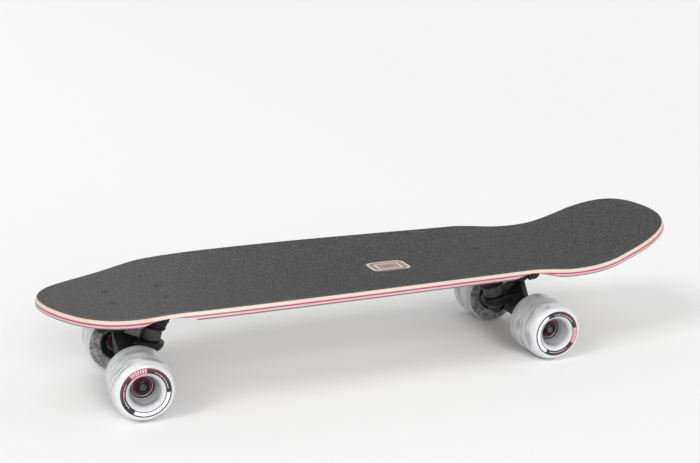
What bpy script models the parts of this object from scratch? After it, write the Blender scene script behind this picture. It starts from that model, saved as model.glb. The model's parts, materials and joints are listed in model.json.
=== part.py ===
"""Cruiser skateboard with a kicktail deck, two kingpin trucks and four soft wheels.

Metres, +Z up. The nose points to -X and the tail to +X. The origin is on the floor,
under the middle of the board's length. Each truck is built in its own frame: +X runs
inboard, towards the middle of the board, and the origin is the middle of the axle.
"""

import math

import bmesh
import bpy
from mathutils import Matrix, Vector
from mathutils.geometry import interpolate_bezier

# Clearances
GAP = 0.0003
BOLT_CLEARANCE = 0.0004
RING_CLEARANCE = 0.0022
REACH_PAST = 0.0020

# Board layout, along X from the middle of the wheelbase
WHEELBASE = 0.4557
NOSE_REACH = 0.3148
TAIL_REACH = 0.3993

# Deck outline: half widths and where they lie, with the turn and handle lengths of each knot
NOSE_TIP_HANDLE = 0.0276
NOSE_FLANK_HALF = 0.0797
NOSE_FLANK_BACK = 0.0558
NOSE_FLANK_TURN = 29.4
NOSE_FLANK_HANDLES = (0.0370, 0.0613)
WIDEST_HALF = 0.1094
WIDEST_AHEAD = 0.0597
WIDEST_HANDLES = (0.0774, 0.1130)
WAIST_HALF = 0.1020
WAIST_BEYOND_AXLE = 0.0024
WAIST_TURN = 0.5
WAIST_HANDLES = (0.0763, 0.0119)
TAIL_CORNER_HALF = 0.0878
TAIL_CORNER_BACK = 0.0531
TAIL_CORNER_TURN = -14.8
TAIL_CORNER_HANDLES = (0.0010, 0.0440)
TAIL_TIP_HANDLE = 0.0479

# Deck section
DECK_THICKNESS = 0.0086
DECK_EDGE_ROUND = 0.0017
DECK_EDGE_ANGLE = math.radians(60)
FLAT_HALF = 0.0170
DISH_HALF = 0.1080
MID_DISH = 0.0100
NOSE_DISH = 0.0044
TAIL_DISH = 0.0039
NOSE_DISH_FADE = 0.0620
TAIL_DISH_FADE = 0.0660
KICK_DISH_FADE = 0.0730
NOSE_FADE_LEAD = 0.0118
TAIL_FADE_LEAD = 0.0058
NOSE_SLOPE = 0.19
NOSE_BEND = 0.0400
NOSE_BEND_BEYOND_BOLTS = 0.0084
TAIL_SLOPE = 0.36
TAIL_BEND = 0.0500
TAIL_BEND_BEYOND_BOLTS = 0.0224

# Wheel wells, scooped out of the underside beside each truck
WELL_RADIUS = 0.0707
WELL_DEPTH = 0.0044
WELL_START_HALF = 0.0600
WELL_INBOARD = 0.0300

# Grip tape with its die-cut window
GRIP_THICKNESS = 0.0010
GRIP_INSET = 0.0013
WINDOW_LENGTH = 0.0480
WINDOW_WIDTH = 0.0400
WINDOW_CORNER = 0.0050
WINDOW_BEHIND_MIDDLE = 0.0690

# Mounting hardware
PATTERN_LENGTH = 0.05398
PATTERN_WIDTH = 0.0413
AXLE_TO_PATTERN = 0.01315
BOLT_RADIUS = 0.00242
BOLT_LENGTH = 0.0275
BOLT_HEAD_RADIUS = 0.0048
BOLT_HEAD_RIM = 0.0004
BOLT_HEAD_HALF_ANGLE = math.radians(41)
BOLT_SOCKET_FLATS = 0.0032
BOLT_SOCKET_DEPTH = 0.0018
DECK_NUT_FLATS = 0.0095
DECK_NUT_HEIGHT = 0.0046

# Riser pad and baseplate
RISER_THICKNESS = 0.0030
RISER_MARGIN = 0.0010
TRUCK_HEIGHT = 0.0560
PLATE_THICKNESS = 0.0065
PLATE_OUTBOARD = 0.04615
PLATE_INBOARD = 0.0346
PLATE_HALF_WIDTH = 0.0275
PLATE_CORNER = 0.0060
PEDESTAL_HALF_WIDTH = 0.0145
PEDESTAL_FOOT = 0.0260
PEDESTAL_END_DROP = 0.0035
FOOT_INSET = 0.0005
BOSS_RADIUS = 0.0135
BOSS_FLARE_RADIUS = 0.0145
BOSS_FLARE_AT = 0.0050

# Kingpin and what it carries
KINGPIN_LEAN = math.radians(16)
KINGPIN_RADIUS = 0.00476
KINGPIN_TAIL = 0.0006
KINGPIN_HEAD_FLATS = 0.0143
KINGPIN_HEAD_HEIGHT = 0.0054
KINGPIN_NUT_HEIGHT = 0.0050
BOARD_BUSHING_RADIUS = 0.0112
BOARD_BUSHING_HEIGHT = 0.0127
ROAD_BUSHING_RADIUS = 0.0113
ROAD_BUSHING_END_RADIUS = 0.0095
ROAD_BUSHING_HEIGHT = 0.0045
BUSHING_EDGE = 0.0010
BOARD_WASHER_RADIUS = 0.0142
BOARD_WASHER_HEIGHT = 0.0018
ROAD_WASHER_RADIUS = 0.0100
ROAD_WASHER_HEIGHT = 0.0015
WASHER_EDGE = 0.0005

# Steering axis, pivot cup and pivot housing
STEER_RISE = math.radians(32)
PIVOT_REACH = 0.04725
PIVOT_NOSE_RADIUS = 0.0060
PIVOT_NOSE_TIP_RADIUS = 0.0040
PIVOT_NOSE_DEPTH = 0.0070
PIVOT_NOSE_ROOT = 0.0150
CUP_LIP_RADIUS = 0.0097
CUP_LIP_HEIGHT = 0.0024
CUP_LIP_AHEAD = 0.0005
CUP_RADIUS = 0.0083
CUP_FLOOR = 0.0017
HOUSING_MOUTH_RADIUS = 0.0103
HOUSING_RADIUS = 0.0121
HOUSING_MOUTH_SLOPE = 0.0035
HOUSING_LENGTH = 0.0088
HOUSING_END_ROUND = 0.0014
HOUSING_FOOT = 0.0250
HOUSING_HALF_WIDTH = 0.0130

# Hanger, in the truck's frame
RING_INBOARD = 0.0241
RING_ABOVE_AXLE = 0.0145
RING_RADIUS = 0.0159
RING_FOOT_RADIUS = 0.0132
RING_THICKNESS = 0.0094
HANGER_HALF_WIDTH = 0.0579
HANGER_END_RADIUS = 0.0068
HANGER_END_CHAMFER = 0.0010
ARM_RADIUS = 0.0076
BODY_HALF_WIDTH = 0.0320
BODY_END_RADIUS = 0.0086
BODY_END_RISE = 0.0008
CREST_HALF_WIDTH = 0.0085
CREST_OUTBOARD = 0.0135
CREST_OUTBOARD_HEIGHT = 0.0322
CREST_OUTBOARD_HALF_WIDTH = 0.0016
CREST_TOP_OUTBOARD = 0.0035
CREST_TOP_HEIGHT = 0.0325
CREST_BUSHING_MARGIN = 0.0030
CREST_SEAT_RISE = 0.0026
YOKE_HALF_WIDTH = 0.0200
YOKE_REACH = 0.0220
YOKE_HALF_HEIGHT = 0.0035
HANGER_EDGE_ROUND = 0.0012
HANGER_EDGE_ANGLE = math.radians(40)

# Axle and its nuts
AXLE_RADIUS = 0.00397
AXLE_LENGTH = 0.1744
AXLE_END_CHAMFER = 0.0008
AXLE_NUT_FLATS = 0.0127
AXLE_NUT_HEIGHT = 0.0060

# Bearings
BEARING_RADIUS = 0.0110
BEARING_WIDTH = 0.0070
BEARING_EDGE_ROUND = 0.0004
BEARING_SPACING = 0.0170
HANGER_TO_BEARING = 0.0006

# Wheels, with depths measured from the inner face outward
WHEEL_RADIUS = 0.0325
WHEEL_WIDTH = 0.0515
WHEEL_INNER_BESIDE_BEARING = 0.0085
TREAD_FROM = 0.0040
TREAD_TO = 0.0360
INNER_EDGE_ROUND = 0.0035
LIP_OUTER_RADIUS = 0.0255
LIP_INNER_RADIUS = 0.0197
LIP_CROWN = 0.0003
CAVITY_MOUTH_RADIUS = 0.0158
CAVITY_MOUTH_DEPTH = 0.0045
CAVITY_FLOOR_RADIUS = 0.0124
CORE_RADIUS = 0.0150
CORE_LIP_RADIUS = 0.0118
CORE_LIP_PROUD = 0.0007
CORE_LIP_SLOPE = 0.0030
CORE_SHOULDER_RADIUS = 0.0096
CORE_FLARE_RADIUS = 0.0185
CORE_FLARE_RECESS = 0.0010
CORE_FLARE_WALL = 0.0009
CORE_FLARE_ROOT = 0.0014
CORE_FUNNEL_RADIUS = 0.0126
CORE_FUNNEL_RECESS = 0.0010

# Faceting
ROUND_STEPS = 16
HULL_STEPS = 16
WHEEL_STEPS = 30
SMALL_STEPS = 12
EDGE_STEPS = 2
CORNER_STEPS = 4
SHOULDER_STEPS = 3
INNER_EDGE_STEPS = 2
WELL_STEPS = 96
OUTLINE_STEPS = (8, 7, 6, 7, 10)
DISH_COLUMNS = 4

# Levels, from the floor up: the faceted wheels stand on their flats
AXLE_HEIGHT = WHEEL_RADIUS * math.cos(math.pi / WHEEL_STEPS)
PLATE_TOP = AXLE_HEIGHT + TRUCK_HEIGHT
RISER_BOTTOM = PLATE_TOP + GAP
DECK_BOTTOM = RISER_BOTTOM + RISER_THICKNESS + GAP
DECK_TOP = DECK_BOTTOM + DECK_THICKNESS
GRIP_TOP = DECK_TOP + GAP + GRIP_THICKNESS

# Places along the board: its edges are square to the bent deck, so they reach past its top
NOSE_FLARE = (DECK_THICKNESS - DECK_EDGE_ROUND) * math.sin(math.atan(NOSE_SLOPE))
TAIL_FLARE = (DECK_THICKNESS - DECK_EDGE_ROUND) * math.sin(math.atan(TAIL_SLOPE))
MIDDLE = (NOSE_REACH + NOSE_FLARE - TAIL_REACH - TAIL_FLARE) / 2
OUTER_BOLTS = WHEELBASE / 2 - AXLE_TO_PATTERN + PATTERN_LENGTH / 2

# Stations along the kingpin, from the middle of the hanger's ring, up towards the board
BOARD_SEAT = RING_THICKNESS / 2 + GAP
BOARD_WASHER_AT = BOARD_SEAT + BOARD_BUSHING_HEIGHT + GAP
BOSS_FACE = BOARD_WASHER_AT + BOARD_WASHER_HEIGHT + GAP
ROAD_SEAT = -RING_THICKNESS / 2 - GAP
ROAD_WASHER_AT = ROAD_SEAT - ROAD_BUSHING_HEIGHT - GAP
KINGPIN_NUT_AT = ROAD_WASHER_AT - ROAD_WASHER_HEIGHT - GAP
KINGPIN_END = KINGPIN_NUT_AT - KINGPIN_NUT_HEIGHT - KINGPIN_TAIL

# Stations along the axle, from its middle outward
INNER_BEARING = HANGER_HALF_WIDTH + HANGER_TO_BEARING
OUTER_BEARING = INNER_BEARING + BEARING_SPACING
BEARING_FACE = OUTER_BEARING + BEARING_WIDTH
WHEEL_INNER = INNER_BEARING - WHEEL_INNER_BESIDE_BEARING

# Stations along the steering axis, from the pivot point, up into the housing
CUP_END = PIVOT_NOSE_DEPTH + GAP + CUP_FLOOR
HOUSING_MOUTH = CUP_LIP_HEIGHT - CUP_LIP_AHEAD + GAP

# The two ends of the board along X, and its two sides along Y
ENDS = (-1, 1)
SIDES = (("left", -1), ("right", 1))


def hex_radius(flats):
    """Corner radius of a hexagon with this distance across its flats."""
    return flats / math.sqrt(3)


RING_CENTRE = Vector((RING_INBOARD, 0, RING_ABOVE_AXLE))
KINGPIN_AXIS = Vector((math.sin(KINGPIN_LEAN), 0, math.cos(KINGPIN_LEAN)))
RING_PLANE = Vector((math.cos(KINGPIN_LEAN), 0, -math.sin(KINGPIN_LEAN)))
STEER_AXIS = Vector((-math.cos(STEER_RISE), 0, math.sin(STEER_RISE)))
STEER_TILT = -(math.pi / 2 - STEER_RISE)
PIVOT = RING_CENTRE + PIVOT_REACH * STEER_AXIS
KINGPIN_HEAD_TOP = (
    TRUCK_HEIGHT
    - 2 * GAP
    - RING_ABOVE_AXLE
    - hex_radius(KINGPIN_HEAD_FLATS) * math.sin(KINGPIN_LEAN)
) / math.cos(KINGPIN_LEAN)


def clear_scene():
    """Removes every object, so that the script starts from an empty scene."""
    for obj in list(bpy.data.objects):
        bpy.data.objects.remove(obj, do_unlink=True)


def new_collection(name):
    """A collection of this name under the scene's own."""
    collection = bpy.data.collections.new(name)
    bpy.context.scene.collection.children.link(collection)
    return collection


def new_material(name, colour, roughness, metallic=0.0):
    """A Principled material with one colour."""
    material = bpy.data.materials.new(name)
    material.use_nodes = True
    shader = material.node_tree.nodes["Principled BSDF"]
    shader.inputs["Base Color"].default_value = (*colour, 1.0)
    shader.inputs["Roughness"].default_value = roughness
    shader.inputs["Metallic"].default_value = metallic
    return material


def new_object(name, mesh, collection, parent=None, material=None):
    """An object for this mesh, under its parent and with its material."""
    obj = bpy.data.objects.new(name, mesh)
    collection.objects.link(obj)
    obj.parent = parent
    if material and not mesh.materials:
        mesh.materials.append(material)
    return obj


def new_empty(name, location, parent=None, rotation=(0, 0, 0)):
    """An empty that carries pieces, for instance on a joint's axis."""
    empty = bpy.data.objects.new(name, None)
    PARTS.objects.link(empty)
    empty.parent = parent
    empty.location = location
    empty.rotation_euler = rotation
    return empty


def as_helper(obj):
    """Marks an object as a cutter or a joined-on shape that is not a piece."""
    obj.hide_render = True
    obj.display_type = "WIRE"
    return obj


def add_boolean(obj, other, operation):
    """Cuts or joins another object, with Blender's exact solver."""
    modifier = obj.modifiers.new(f"{operation.lower()}_{other.name}", "BOOLEAN")
    modifier.operation = operation
    modifier.object = other
    modifier.solver = "EXACT"


def round_edges(obj, radius, angle):
    """Rounds the edges that turn more sharply than this angle."""
    bevel = obj.modifiers.new("edges", "BEVEL")
    bevel.width = radius
    bevel.segments = EDGE_STEPS
    bevel.limit_method = "ANGLE"
    bevel.angle_limit = angle


def baked_mesh(obj, helpers=()):
    """The mesh of an object with its modifiers applied. The object and its helpers are removed."""
    graph = bpy.context.evaluated_depsgraph_get()
    mesh = bpy.data.meshes.new_from_object(obj.evaluated_get(graph))
    mesh.name = obj.name
    mesh.transform(obj.matrix_world)
    for used in (obj, *helpers):
        bpy.data.objects.remove(used, do_unlink=True)
    mesh.shade_smooth()
    mesh.set_sharp_from_angle(angle=math.radians(35))
    return mesh


def mesh_from(bm, name):
    """A mesh data block from a bmesh, with its normals pointing out."""
    bmesh.ops.recalc_face_normals(bm, faces=bm.faces)
    mesh = bpy.data.meshes.new(name)
    bm.to_mesh(mesh)
    bm.free()
    return mesh


def turned(name, profile, steps=ROUND_STEPS, closed=False):
    """A helper object turned about Z from (radius, height) points that run down the outer side."""
    mesh = bpy.data.meshes.new(name)
    edges = [(i, i + 1) for i in range(len(profile) - 1)]
    if closed:
        edges.append((len(profile) - 1, 0))
    mesh.from_pydata([(radius, 0, height) for radius, height in profile], edges, [])
    obj = as_helper(new_object(name, mesh, CUTTERS))
    screw = obj.modifiers.new("turn", "SCREW")
    screw.steps = steps
    screw.render_steps = steps
    screw.use_merge_vertices = True
    screw.merge_threshold = 0.00001
    return obj


def turned_mesh(name, profile, steps=ROUND_STEPS, closed=False):
    """The baked mesh of a turned profile."""
    return baked_mesh(turned(name, profile, steps, closed))


def rod(name, radius, low, high, steps=ROUND_STEPS):
    """A plain cylinder about Z as a helper object, from one height to another."""
    bm = bmesh.new()
    bmesh.ops.create_cone(
        bm,
        cap_ends=True,
        segments=steps,
        radius1=radius,
        radius2=radius,
        depth=high - low,
        matrix=Matrix.Translation((0, 0, (low + high) / 2)),
    )
    return as_helper(new_object(name, mesh_from(bm, name), CUTTERS))


def hull(name, points):
    """The convex solid around these points, as a helper object."""
    bm = bmesh.new()
    for point in points:
        bm.verts.new(point)
    found = bmesh.ops.convex_hull(bm, input=bm.verts)
    inside = {item for item in found["geom_interior"] if isinstance(item, bmesh.types.BMVert)}
    bmesh.ops.delete(bm, geom=list(inside), context="VERTS")
    bmesh.ops.dissolve_limit(
        bm, angle_limit=math.radians(0.5), verts=bm.verts, edges=bm.edges
    )
    return as_helper(new_object(name, mesh_from(bm, name), CUTTERS))


def circle_points(centre, axis, radius, steps=HULL_STEPS):
    """Points of a circle about an axis."""
    across = axis.orthogonal().normalized()
    up = axis.cross(across)
    angles = [2 * math.pi * i / steps for i in range(steps)]
    return [
        centre + radius * (math.cos(angle) * across + math.sin(angle) * up)
        for angle in angles
    ]


def rounded_block(name, low, high, corner):
    """A block between two corners with its upright edges rounded, as a helper object."""
    low, high = Vector(low), Vector(high)
    bm = bmesh.new()
    placed = Matrix.Translation((low + high) / 2) @ Matrix.Diagonal((*(high - low), 1))
    bmesh.ops.create_cube(bm, size=1, matrix=placed)
    upright = [
        edge for edge in bm.edges if edge.verts[0].co.xy == edge.verts[1].co.xy
    ]
    bmesh.ops.bevel(
        bm, geom=upright, offset=corner, segments=CORNER_STEPS, profile=0.5, affect="EDGES"
    )
    return as_helper(new_object(name, mesh_from(bm, name), CUTTERS))


def hex_nut_mesh(name, flats, height, bore):
    """A hexagon nut about Z that stands on z = 0, with a plain bore."""
    nut = rod(name, hex_radius(flats), 0, height, steps=6)
    hole = rod("hole", bore, -height, 2 * height, steps=SMALL_STEPS)
    add_boolean(nut, hole, "DIFFERENCE")
    return baked_mesh(nut, [hole])


def smooth(share):
    """Rises from 0 to 1 with level ends as the share goes from 0 to 1."""
    share = min(max(share, 0.0), 1.0)
    return share * share * (3 - 2 * share)


def outline_knots():
    """Knots of the deck's left edge from nose to tail: point, direction, handles in and out."""
    waist = WHEELBASE / 2 + WAIST_BEYOND_AXLE
    nose_flank = NOSE_FLANK_BACK - NOSE_REACH
    tail_corner = TAIL_REACH - TAIL_CORNER_BACK
    return [
        ((-NOSE_REACH, 0), 90, 0, NOSE_TIP_HANDLE),
        ((nose_flank, NOSE_FLANK_HALF), NOSE_FLANK_TURN, *NOSE_FLANK_HANDLES),
        ((-WIDEST_AHEAD, WIDEST_HALF), 0, *WIDEST_HANDLES),
        ((waist, WAIST_HALF), WAIST_TURN, *WAIST_HANDLES),
        ((tail_corner, TAIL_CORNER_HALF), TAIL_CORNER_TURN, *TAIL_CORNER_HANDLES),
        ((TAIL_REACH, 0), -90, TAIL_TIP_HANDLE, 0),
    ]


def heading(degrees):
    """The plane direction that turns this far from +X towards +Y."""
    angle = math.radians(degrees)
    return Vector((math.cos(angle), math.sin(angle)))


def deck_outline(inset=0.0):
    """(x, half width) points from nose tip to tail tip, drawn in from the edge by the inset."""
    knots = [
        (Vector(point), heading(turn), back, ahead)
        for point, turn, back, ahead in outline_knots()
    ]
    points = []
    for (start, start_way, _, ahead), (end, end_way, back, _), steps in zip(
        knots, knots[1:], OUTLINE_STEPS
    ):
        stretch = interpolate_bezier(
            start, start + ahead * start_way, end - back * end_way, end, steps + 1
        )
        points += stretch[:-1]
    points.append(knots[-1][0])
    drawn = []
    for i, point in enumerate(points):
        if i in (0, len(points) - 1):
            inward = Vector((1, 0)) if i == 0 else Vector((-1, 0))
        else:
            along = points[i + 1] - points[i - 1]
            inward = Vector((along.y, -along.x)).normalized()
        drawn.append(point.to_2d() + inset * inward)
    return drawn


def half_width_at(x):
    """Half the deck's width at a place along it."""
    outline = deck_outline()
    for before, after in zip(outline, outline[1:]):
        if before.x <= x <= after.x:
            share = (x - before.x) / (after.x - before.x)
            return before.y + share * (after.y - before.y)
    return 0.0


def bend(distance, length, slope):
    """Height of a surface that bends up to a slope over this length and then runs straight."""
    if distance <= 0:
        return 0.0
    if distance < length:
        return slope * distance * distance / (2 * length)
    return slope * (distance - length / 2)


def dish_depth(x):
    """How far the deck's edges would stand above its flat centre at a place along it."""
    well = WHEELBASE / 2 - WELL_INBOARD
    if x < 0:
        fade = smooth((-x - well + NOSE_FADE_LEAD) / NOSE_DISH_FADE)
        return MID_DISH + (NOSE_DISH - MID_DISH) * fade
    fade = smooth((x - well + TAIL_FADE_LEAD) / TAIL_DISH_FADE)
    kick = smooth((x - OUTER_BOLTS - TAIL_BEND_BEYOND_BOLTS) / KICK_DISH_FADE)
    return (MID_DISH + (TAIL_DISH - MID_DISH) * fade) * (1 - kick)


def deck_rise(x, y):
    """Height of the deck's top face above its flat centre, x from the middle of the wheelbase."""
    nose = bend(-x - OUTER_BOLTS - NOSE_BEND_BEYOND_BOLTS, NOSE_BEND, NOSE_SLOPE)
    tail = bend(x - OUTER_BOLTS - TAIL_BEND_BEYOND_BOLTS, TAIL_BEND, TAIL_SLOPE)
    share = max(abs(y) - FLAT_HALF, 0.0) / (DISH_HALF - FLAT_HALF)
    return nose + tail + dish_depth(x) * share * share


def deck_rows(inset):
    """Rows of points across the deck, from the nose tip to the tail tip."""
    rows = []
    for place in deck_outline(inset):
        flat = min(FLAT_HALF, place.y / (DISH_COLUMNS + 1))
        side = [
            flat + (place.y - flat) * i / DISH_COLUMNS for i in range(DISH_COLUMNS + 1)
        ]
        across = [-y for y in reversed(side)] + side
        rows.append([(place.x, y) for y in across])
    return rows


def pressed_sheet(name, inset, top, thickness, material):
    """A sheet pressed to the deck's shape: a grid for its top face, thickened downwards."""
    rows = deck_rows(inset)
    columns = len(rows[0])
    bm = bmesh.new()
    bmesh.ops.create_grid(bm, x_segments=len(rows) - 1, y_segments=columns - 1, size=1)
    grid = sorted(bm.verts, key=lambda vert: (round(vert.co.x, 6), vert.co.y))
    for i, vert in enumerate(grid):
        x, y = rows[i // columns][i % columns]
        vert.co = (x + MIDDLE, y, top + deck_rise(x, y))
    bmesh.ops.remove_doubles(bm, verts=bm.verts, dist=0.00001)
    mesh = bpy.data.meshes.new(name)
    bm.to_mesh(mesh)
    bm.free()
    sheet = new_object(name, mesh, PARTS, material=material)
    solidify = sheet.modifiers.new("thickness", "SOLIDIFY")
    solidify.thickness = thickness
    solidify.offset = -1
    solidify.use_even_offset = True
    return sheet


def bolt_places():
    """The four mounting bolts of a truck, in its frame."""
    return [
        Vector((AXLE_TO_PATTERN + end * PATTERN_LENGTH / 2, side * PATTERN_WIDTH / 2, 0))
        for end in (-1, 1)
        for side in (-1, 1)
    ]


def board_bolt_places():
    """The eight mounting bolts, in the board's frame."""
    ends = [Matrix.Translation(axle_place(end)) @ truck_turn(end) for end in ENDS]
    return [end @ place for end in ends for place in bolt_places()]


def bolt_profile(grow, top, length):
    """Profile of a countersunk bolt whose head is flush at z = 0."""
    cone = (BOLT_HEAD_RADIUS - BOLT_RADIUS) / math.tan(BOLT_HEAD_HALF_ANGLE)
    head = BOLT_HEAD_RADIUS + grow
    shank = BOLT_RADIUS + grow
    return [
        (0, top),
        (head, top),
        (head, -BOLT_HEAD_RIM),
        (shank, -BOLT_HEAD_RIM - cone),
        (shank, -length),
        (0, -length),
    ]


def bolt_cutter(name, places, height, parent=None):
    """One cutter for the holes and countersinks of several bolts."""
    profile = bolt_profile(BOLT_CLEARANCE, REACH_PAST, BOLT_LENGTH + REACH_PAST)
    single = turned_mesh("bolt_hole", profile, SMALL_STEPS)
    bm = bmesh.new()
    for place in places:
        fresh = len(bm.verts)
        bm.from_mesh(single)
        bm.verts.ensure_lookup_table()
        at = Vector((place.x, place.y, height))
        bmesh.ops.translate(bm, verts=bm.verts[fresh:], vec=at)
    return as_helper(new_object(name, mesh_from(bm, name), CUTTERS, parent))


def add_deck(material, bolt_holes):
    """The pressed deck with its rounded edges, wheel wells and countersunk bolt holes."""
    deck = pressed_sheet("deck", 0.0, DECK_TOP, DECK_THICKNESS, material)
    round_edges(deck, DECK_EDGE_ROUND, DECK_EDGE_ANGLE)
    add_boolean(deck, wheel_wells(), "DIFFERENCE")
    add_boolean(deck, bolt_holes, "DIFFERENCE")


def wheel_wells():
    """The cutter for the four wheel wells: a tilted drum at each corner of the underside."""
    bm = bmesh.new()
    for end in ENDS:
        x = end * (WHEELBASE / 2 - WELL_INBOARD)
        edge = half_width_at(x)
        inner = DECK_BOTTOM + deck_rise(x, WELL_START_HALF)
        outer = DECK_BOTTOM + deck_rise(x, edge) + WELL_DEPTH
        tilt = math.atan2(outer - inner, edge - WELL_START_HALF)
        for side in (-1, 1):
            crown = Vector((x + MIDDLE, side * edge, outer))
            drop = Vector((0, side * math.sin(tilt), -math.cos(tilt)))
            turn = Matrix.Rotation(side * (tilt - math.pi / 2), 4, "X")
            bmesh.ops.create_cone(
                bm,
                cap_ends=True,
                segments=WELL_STEPS,
                radius1=WELL_RADIUS,
                radius2=WELL_RADIUS,
                depth=edge,
                matrix=Matrix.Translation(crown + WELL_RADIUS * drop) @ turn,
            )
    return as_helper(new_object("wheel_wells", mesh_from(bm, "wheel_wells"), CUTTERS))


def add_grip_tape(material, bolt_holes):
    """The grip tape, drawn in from the wood's edge, with its window and bolt holes."""
    grip = pressed_sheet("grip_tape", GRIP_INSET, GRIP_TOP, GRIP_THICKNESS, material)
    centre = MIDDLE + WINDOW_BEHIND_MIDDLE
    window = rounded_block(
        "grip_window",
        (centre - WINDOW_LENGTH / 2, -WINDOW_WIDTH / 2, DECK_BOTTOM),
        (centre + WINDOW_LENGTH / 2, WINDOW_WIDTH / 2, GRIP_TOP + DECK_THICKNESS),
        WINDOW_CORNER,
    )
    add_boolean(grip, window, "DIFFERENCE")
    add_boolean(grip, bolt_holes, "DIFFERENCE")


def along_axis(origin, tilt):
    """Places a shape about Z on an axis that leans this far from upright towards +X."""
    return Matrix.Translation(origin) @ Matrix.Rotation(tilt, 4, "Y")


def riser_mesh(bolt_holes):
    """The riser pad, a little larger than the baseplate."""
    half = PLATE_HALF_WIDTH + RISER_MARGIN
    bottom = TRUCK_HEIGHT + GAP
    pad = rounded_block(
        "riser",
        (AXLE_TO_PATTERN - PLATE_OUTBOARD - RISER_MARGIN, -half, bottom),
        (AXLE_TO_PATTERN + PLATE_INBOARD + RISER_MARGIN, half, bottom + RISER_THICKNESS),
        PLATE_CORNER,
    )
    add_boolean(pad, bolt_holes, "DIFFERENCE")
    return baked_mesh(pad)


def baseplate_mesh(bolt_holes):
    """The baseplate: a plate with the kingpin's pedestal and the pivot's housing under it."""
    outboard = AXLE_TO_PATTERN - PLATE_OUTBOARD
    inboard = AXLE_TO_PATTERN + PLATE_INBOARD
    underside = TRUCK_HEIGHT - PLATE_THICKNESS
    inside = TRUCK_HEIGHT - PLATE_THICKNESS / 2
    plate = rounded_block(
        "baseplate",
        (outboard, -PLATE_HALF_WIDTH, underside),
        (inboard, PLATE_HALF_WIDTH, TRUCK_HEIGHT),
        PLATE_CORNER,
    )
    pedestal = hull("pedestal", pedestal_points(inboard - FOOT_INSET, underside, inside))
    housing = hull("pivot_housing", housing_points(outboard + FOOT_INSET, inside))
    kingpin_hole = turned("kingpin_hole", kingpin_hole_profile())
    kingpin_hole.matrix_world = along_axis(RING_CENTRE, KINGPIN_LEAN)
    cup_pocket = turned("cup_pocket", cup_pocket_profile())
    cup_pocket.matrix_world = along_axis(PIVOT, STEER_TILT)
    add_boolean(plate, pedestal, "UNION")
    add_boolean(plate, housing, "UNION")
    add_boolean(plate, kingpin_hole, "DIFFERENCE")
    add_boolean(plate, cup_pocket, "DIFFERENCE")
    add_boolean(plate, bolt_holes, "DIFFERENCE")
    return baked_mesh(plate, [pedestal, housing, kingpin_hole, cup_pocket])


def pedestal_points(end, underside, inside):
    """Corners of the pedestal: the boss around the kingpin and its foot in the plate."""
    boss = RING_CENTRE + BOSS_FACE * KINGPIN_AXIS
    points = circle_points(boss, KINGPIN_AXIS, BOSS_RADIUS)
    points += circle_points(
        boss + BOSS_FLARE_AT * KINGPIN_AXIS, KINGPIN_AXIS, BOSS_FLARE_RADIUS
    )
    for side in (-PEDESTAL_HALF_WIDTH, PEDESTAL_HALF_WIDTH):
        points += [
            Vector((end - PEDESTAL_FOOT, side, inside)),
            Vector((end, side, inside)),
            Vector((end, side, underside - PEDESTAL_END_DROP)),
        ]
    return points


def housing_points(end, inside):
    """Corners of the pivot housing: its round mouth and barrel, and its foot in the plate."""
    barrel_end = HOUSING_MOUTH + HOUSING_LENGTH
    rings = [
        (HOUSING_MOUTH, HOUSING_MOUTH_RADIUS),
        (HOUSING_MOUTH + HOUSING_MOUTH_SLOPE, HOUSING_RADIUS),
        (barrel_end - HOUSING_END_ROUND, HOUSING_RADIUS),
        (barrel_end, HOUSING_RADIUS - HOUSING_END_ROUND),
    ]
    points = []
    for station, radius in rings:
        points += circle_points(PIVOT + station * STEER_AXIS, STEER_AXIS, radius)
    for side in (-HOUSING_HALF_WIDTH, HOUSING_HALF_WIDTH):
        points += [
            Vector((end, side, inside)),
            Vector((end + HOUSING_FOOT, side, inside)),
        ]
    return points


def cup_pocket_profile():
    """Profile of the pivot cup's pocket, with room in front of it for the lip and the nose."""
    return [
        (0, CUP_END + GAP),
        (CUP_RADIUS + GAP, CUP_END + GAP),
        (CUP_RADIUS + GAP, HOUSING_MOUTH),
        (CUP_LIP_RADIUS + GAP, HOUSING_MOUTH),
        (CUP_LIP_RADIUS + GAP, -PIVOT_NOSE_ROOT),
        (0, -PIVOT_NOSE_ROOT),
    ]


def kingpin_hole_profile():
    """Profile of the kingpin's hole through the baseplate, with the pocket for its head."""
    pocket = hex_radius(KINGPIN_HEAD_FLATS) + GAP
    shoulder = KINGPIN_HEAD_TOP - KINGPIN_HEAD_HEIGHT - GAP
    return [
        (0, KINGPIN_HEAD_TOP + TRUCK_HEIGHT),
        (pocket, KINGPIN_HEAD_TOP + TRUCK_HEIGHT),
        (pocket, shoulder),
        (KINGPIN_RADIUS + GAP, shoulder),
        (KINGPIN_RADIUS + GAP, BOSS_FACE - REACH_PAST),
        (0, BOSS_FACE - REACH_PAST),
    ]


def kingpin_mesh():
    """The kingpin: a hexagon-headed bolt about Z, with z = 0 at the middle of the ring."""
    shoulder = KINGPIN_HEAD_TOP - KINGPIN_HEAD_HEIGHT
    head = rod("kingpin", hex_radius(KINGPIN_HEAD_FLATS), shoulder, KINGPIN_HEAD_TOP, 6)
    shank = rod(
        "shank", KINGPIN_RADIUS, KINGPIN_END, KINGPIN_HEAD_TOP - KINGPIN_HEAD_HEIGHT / 2
    )
    add_boolean(head, shank, "UNION")
    return baked_mesh(head, [shank])


def ring_mesh(name, top_radius, bottom_radius, height, bore, edge, steps=ROUND_STEPS):
    """A ring about Z that stands on z = 0, with softened edges, for bushings and the like."""
    profile = [
        (top_radius - edge, height),
        (top_radius, height - edge),
        (bottom_radius, edge),
        (bottom_radius - edge, 0),
        (bore, 0),
        (bore, height),
    ]
    return turned_mesh(name, profile, steps, closed=True)


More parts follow.
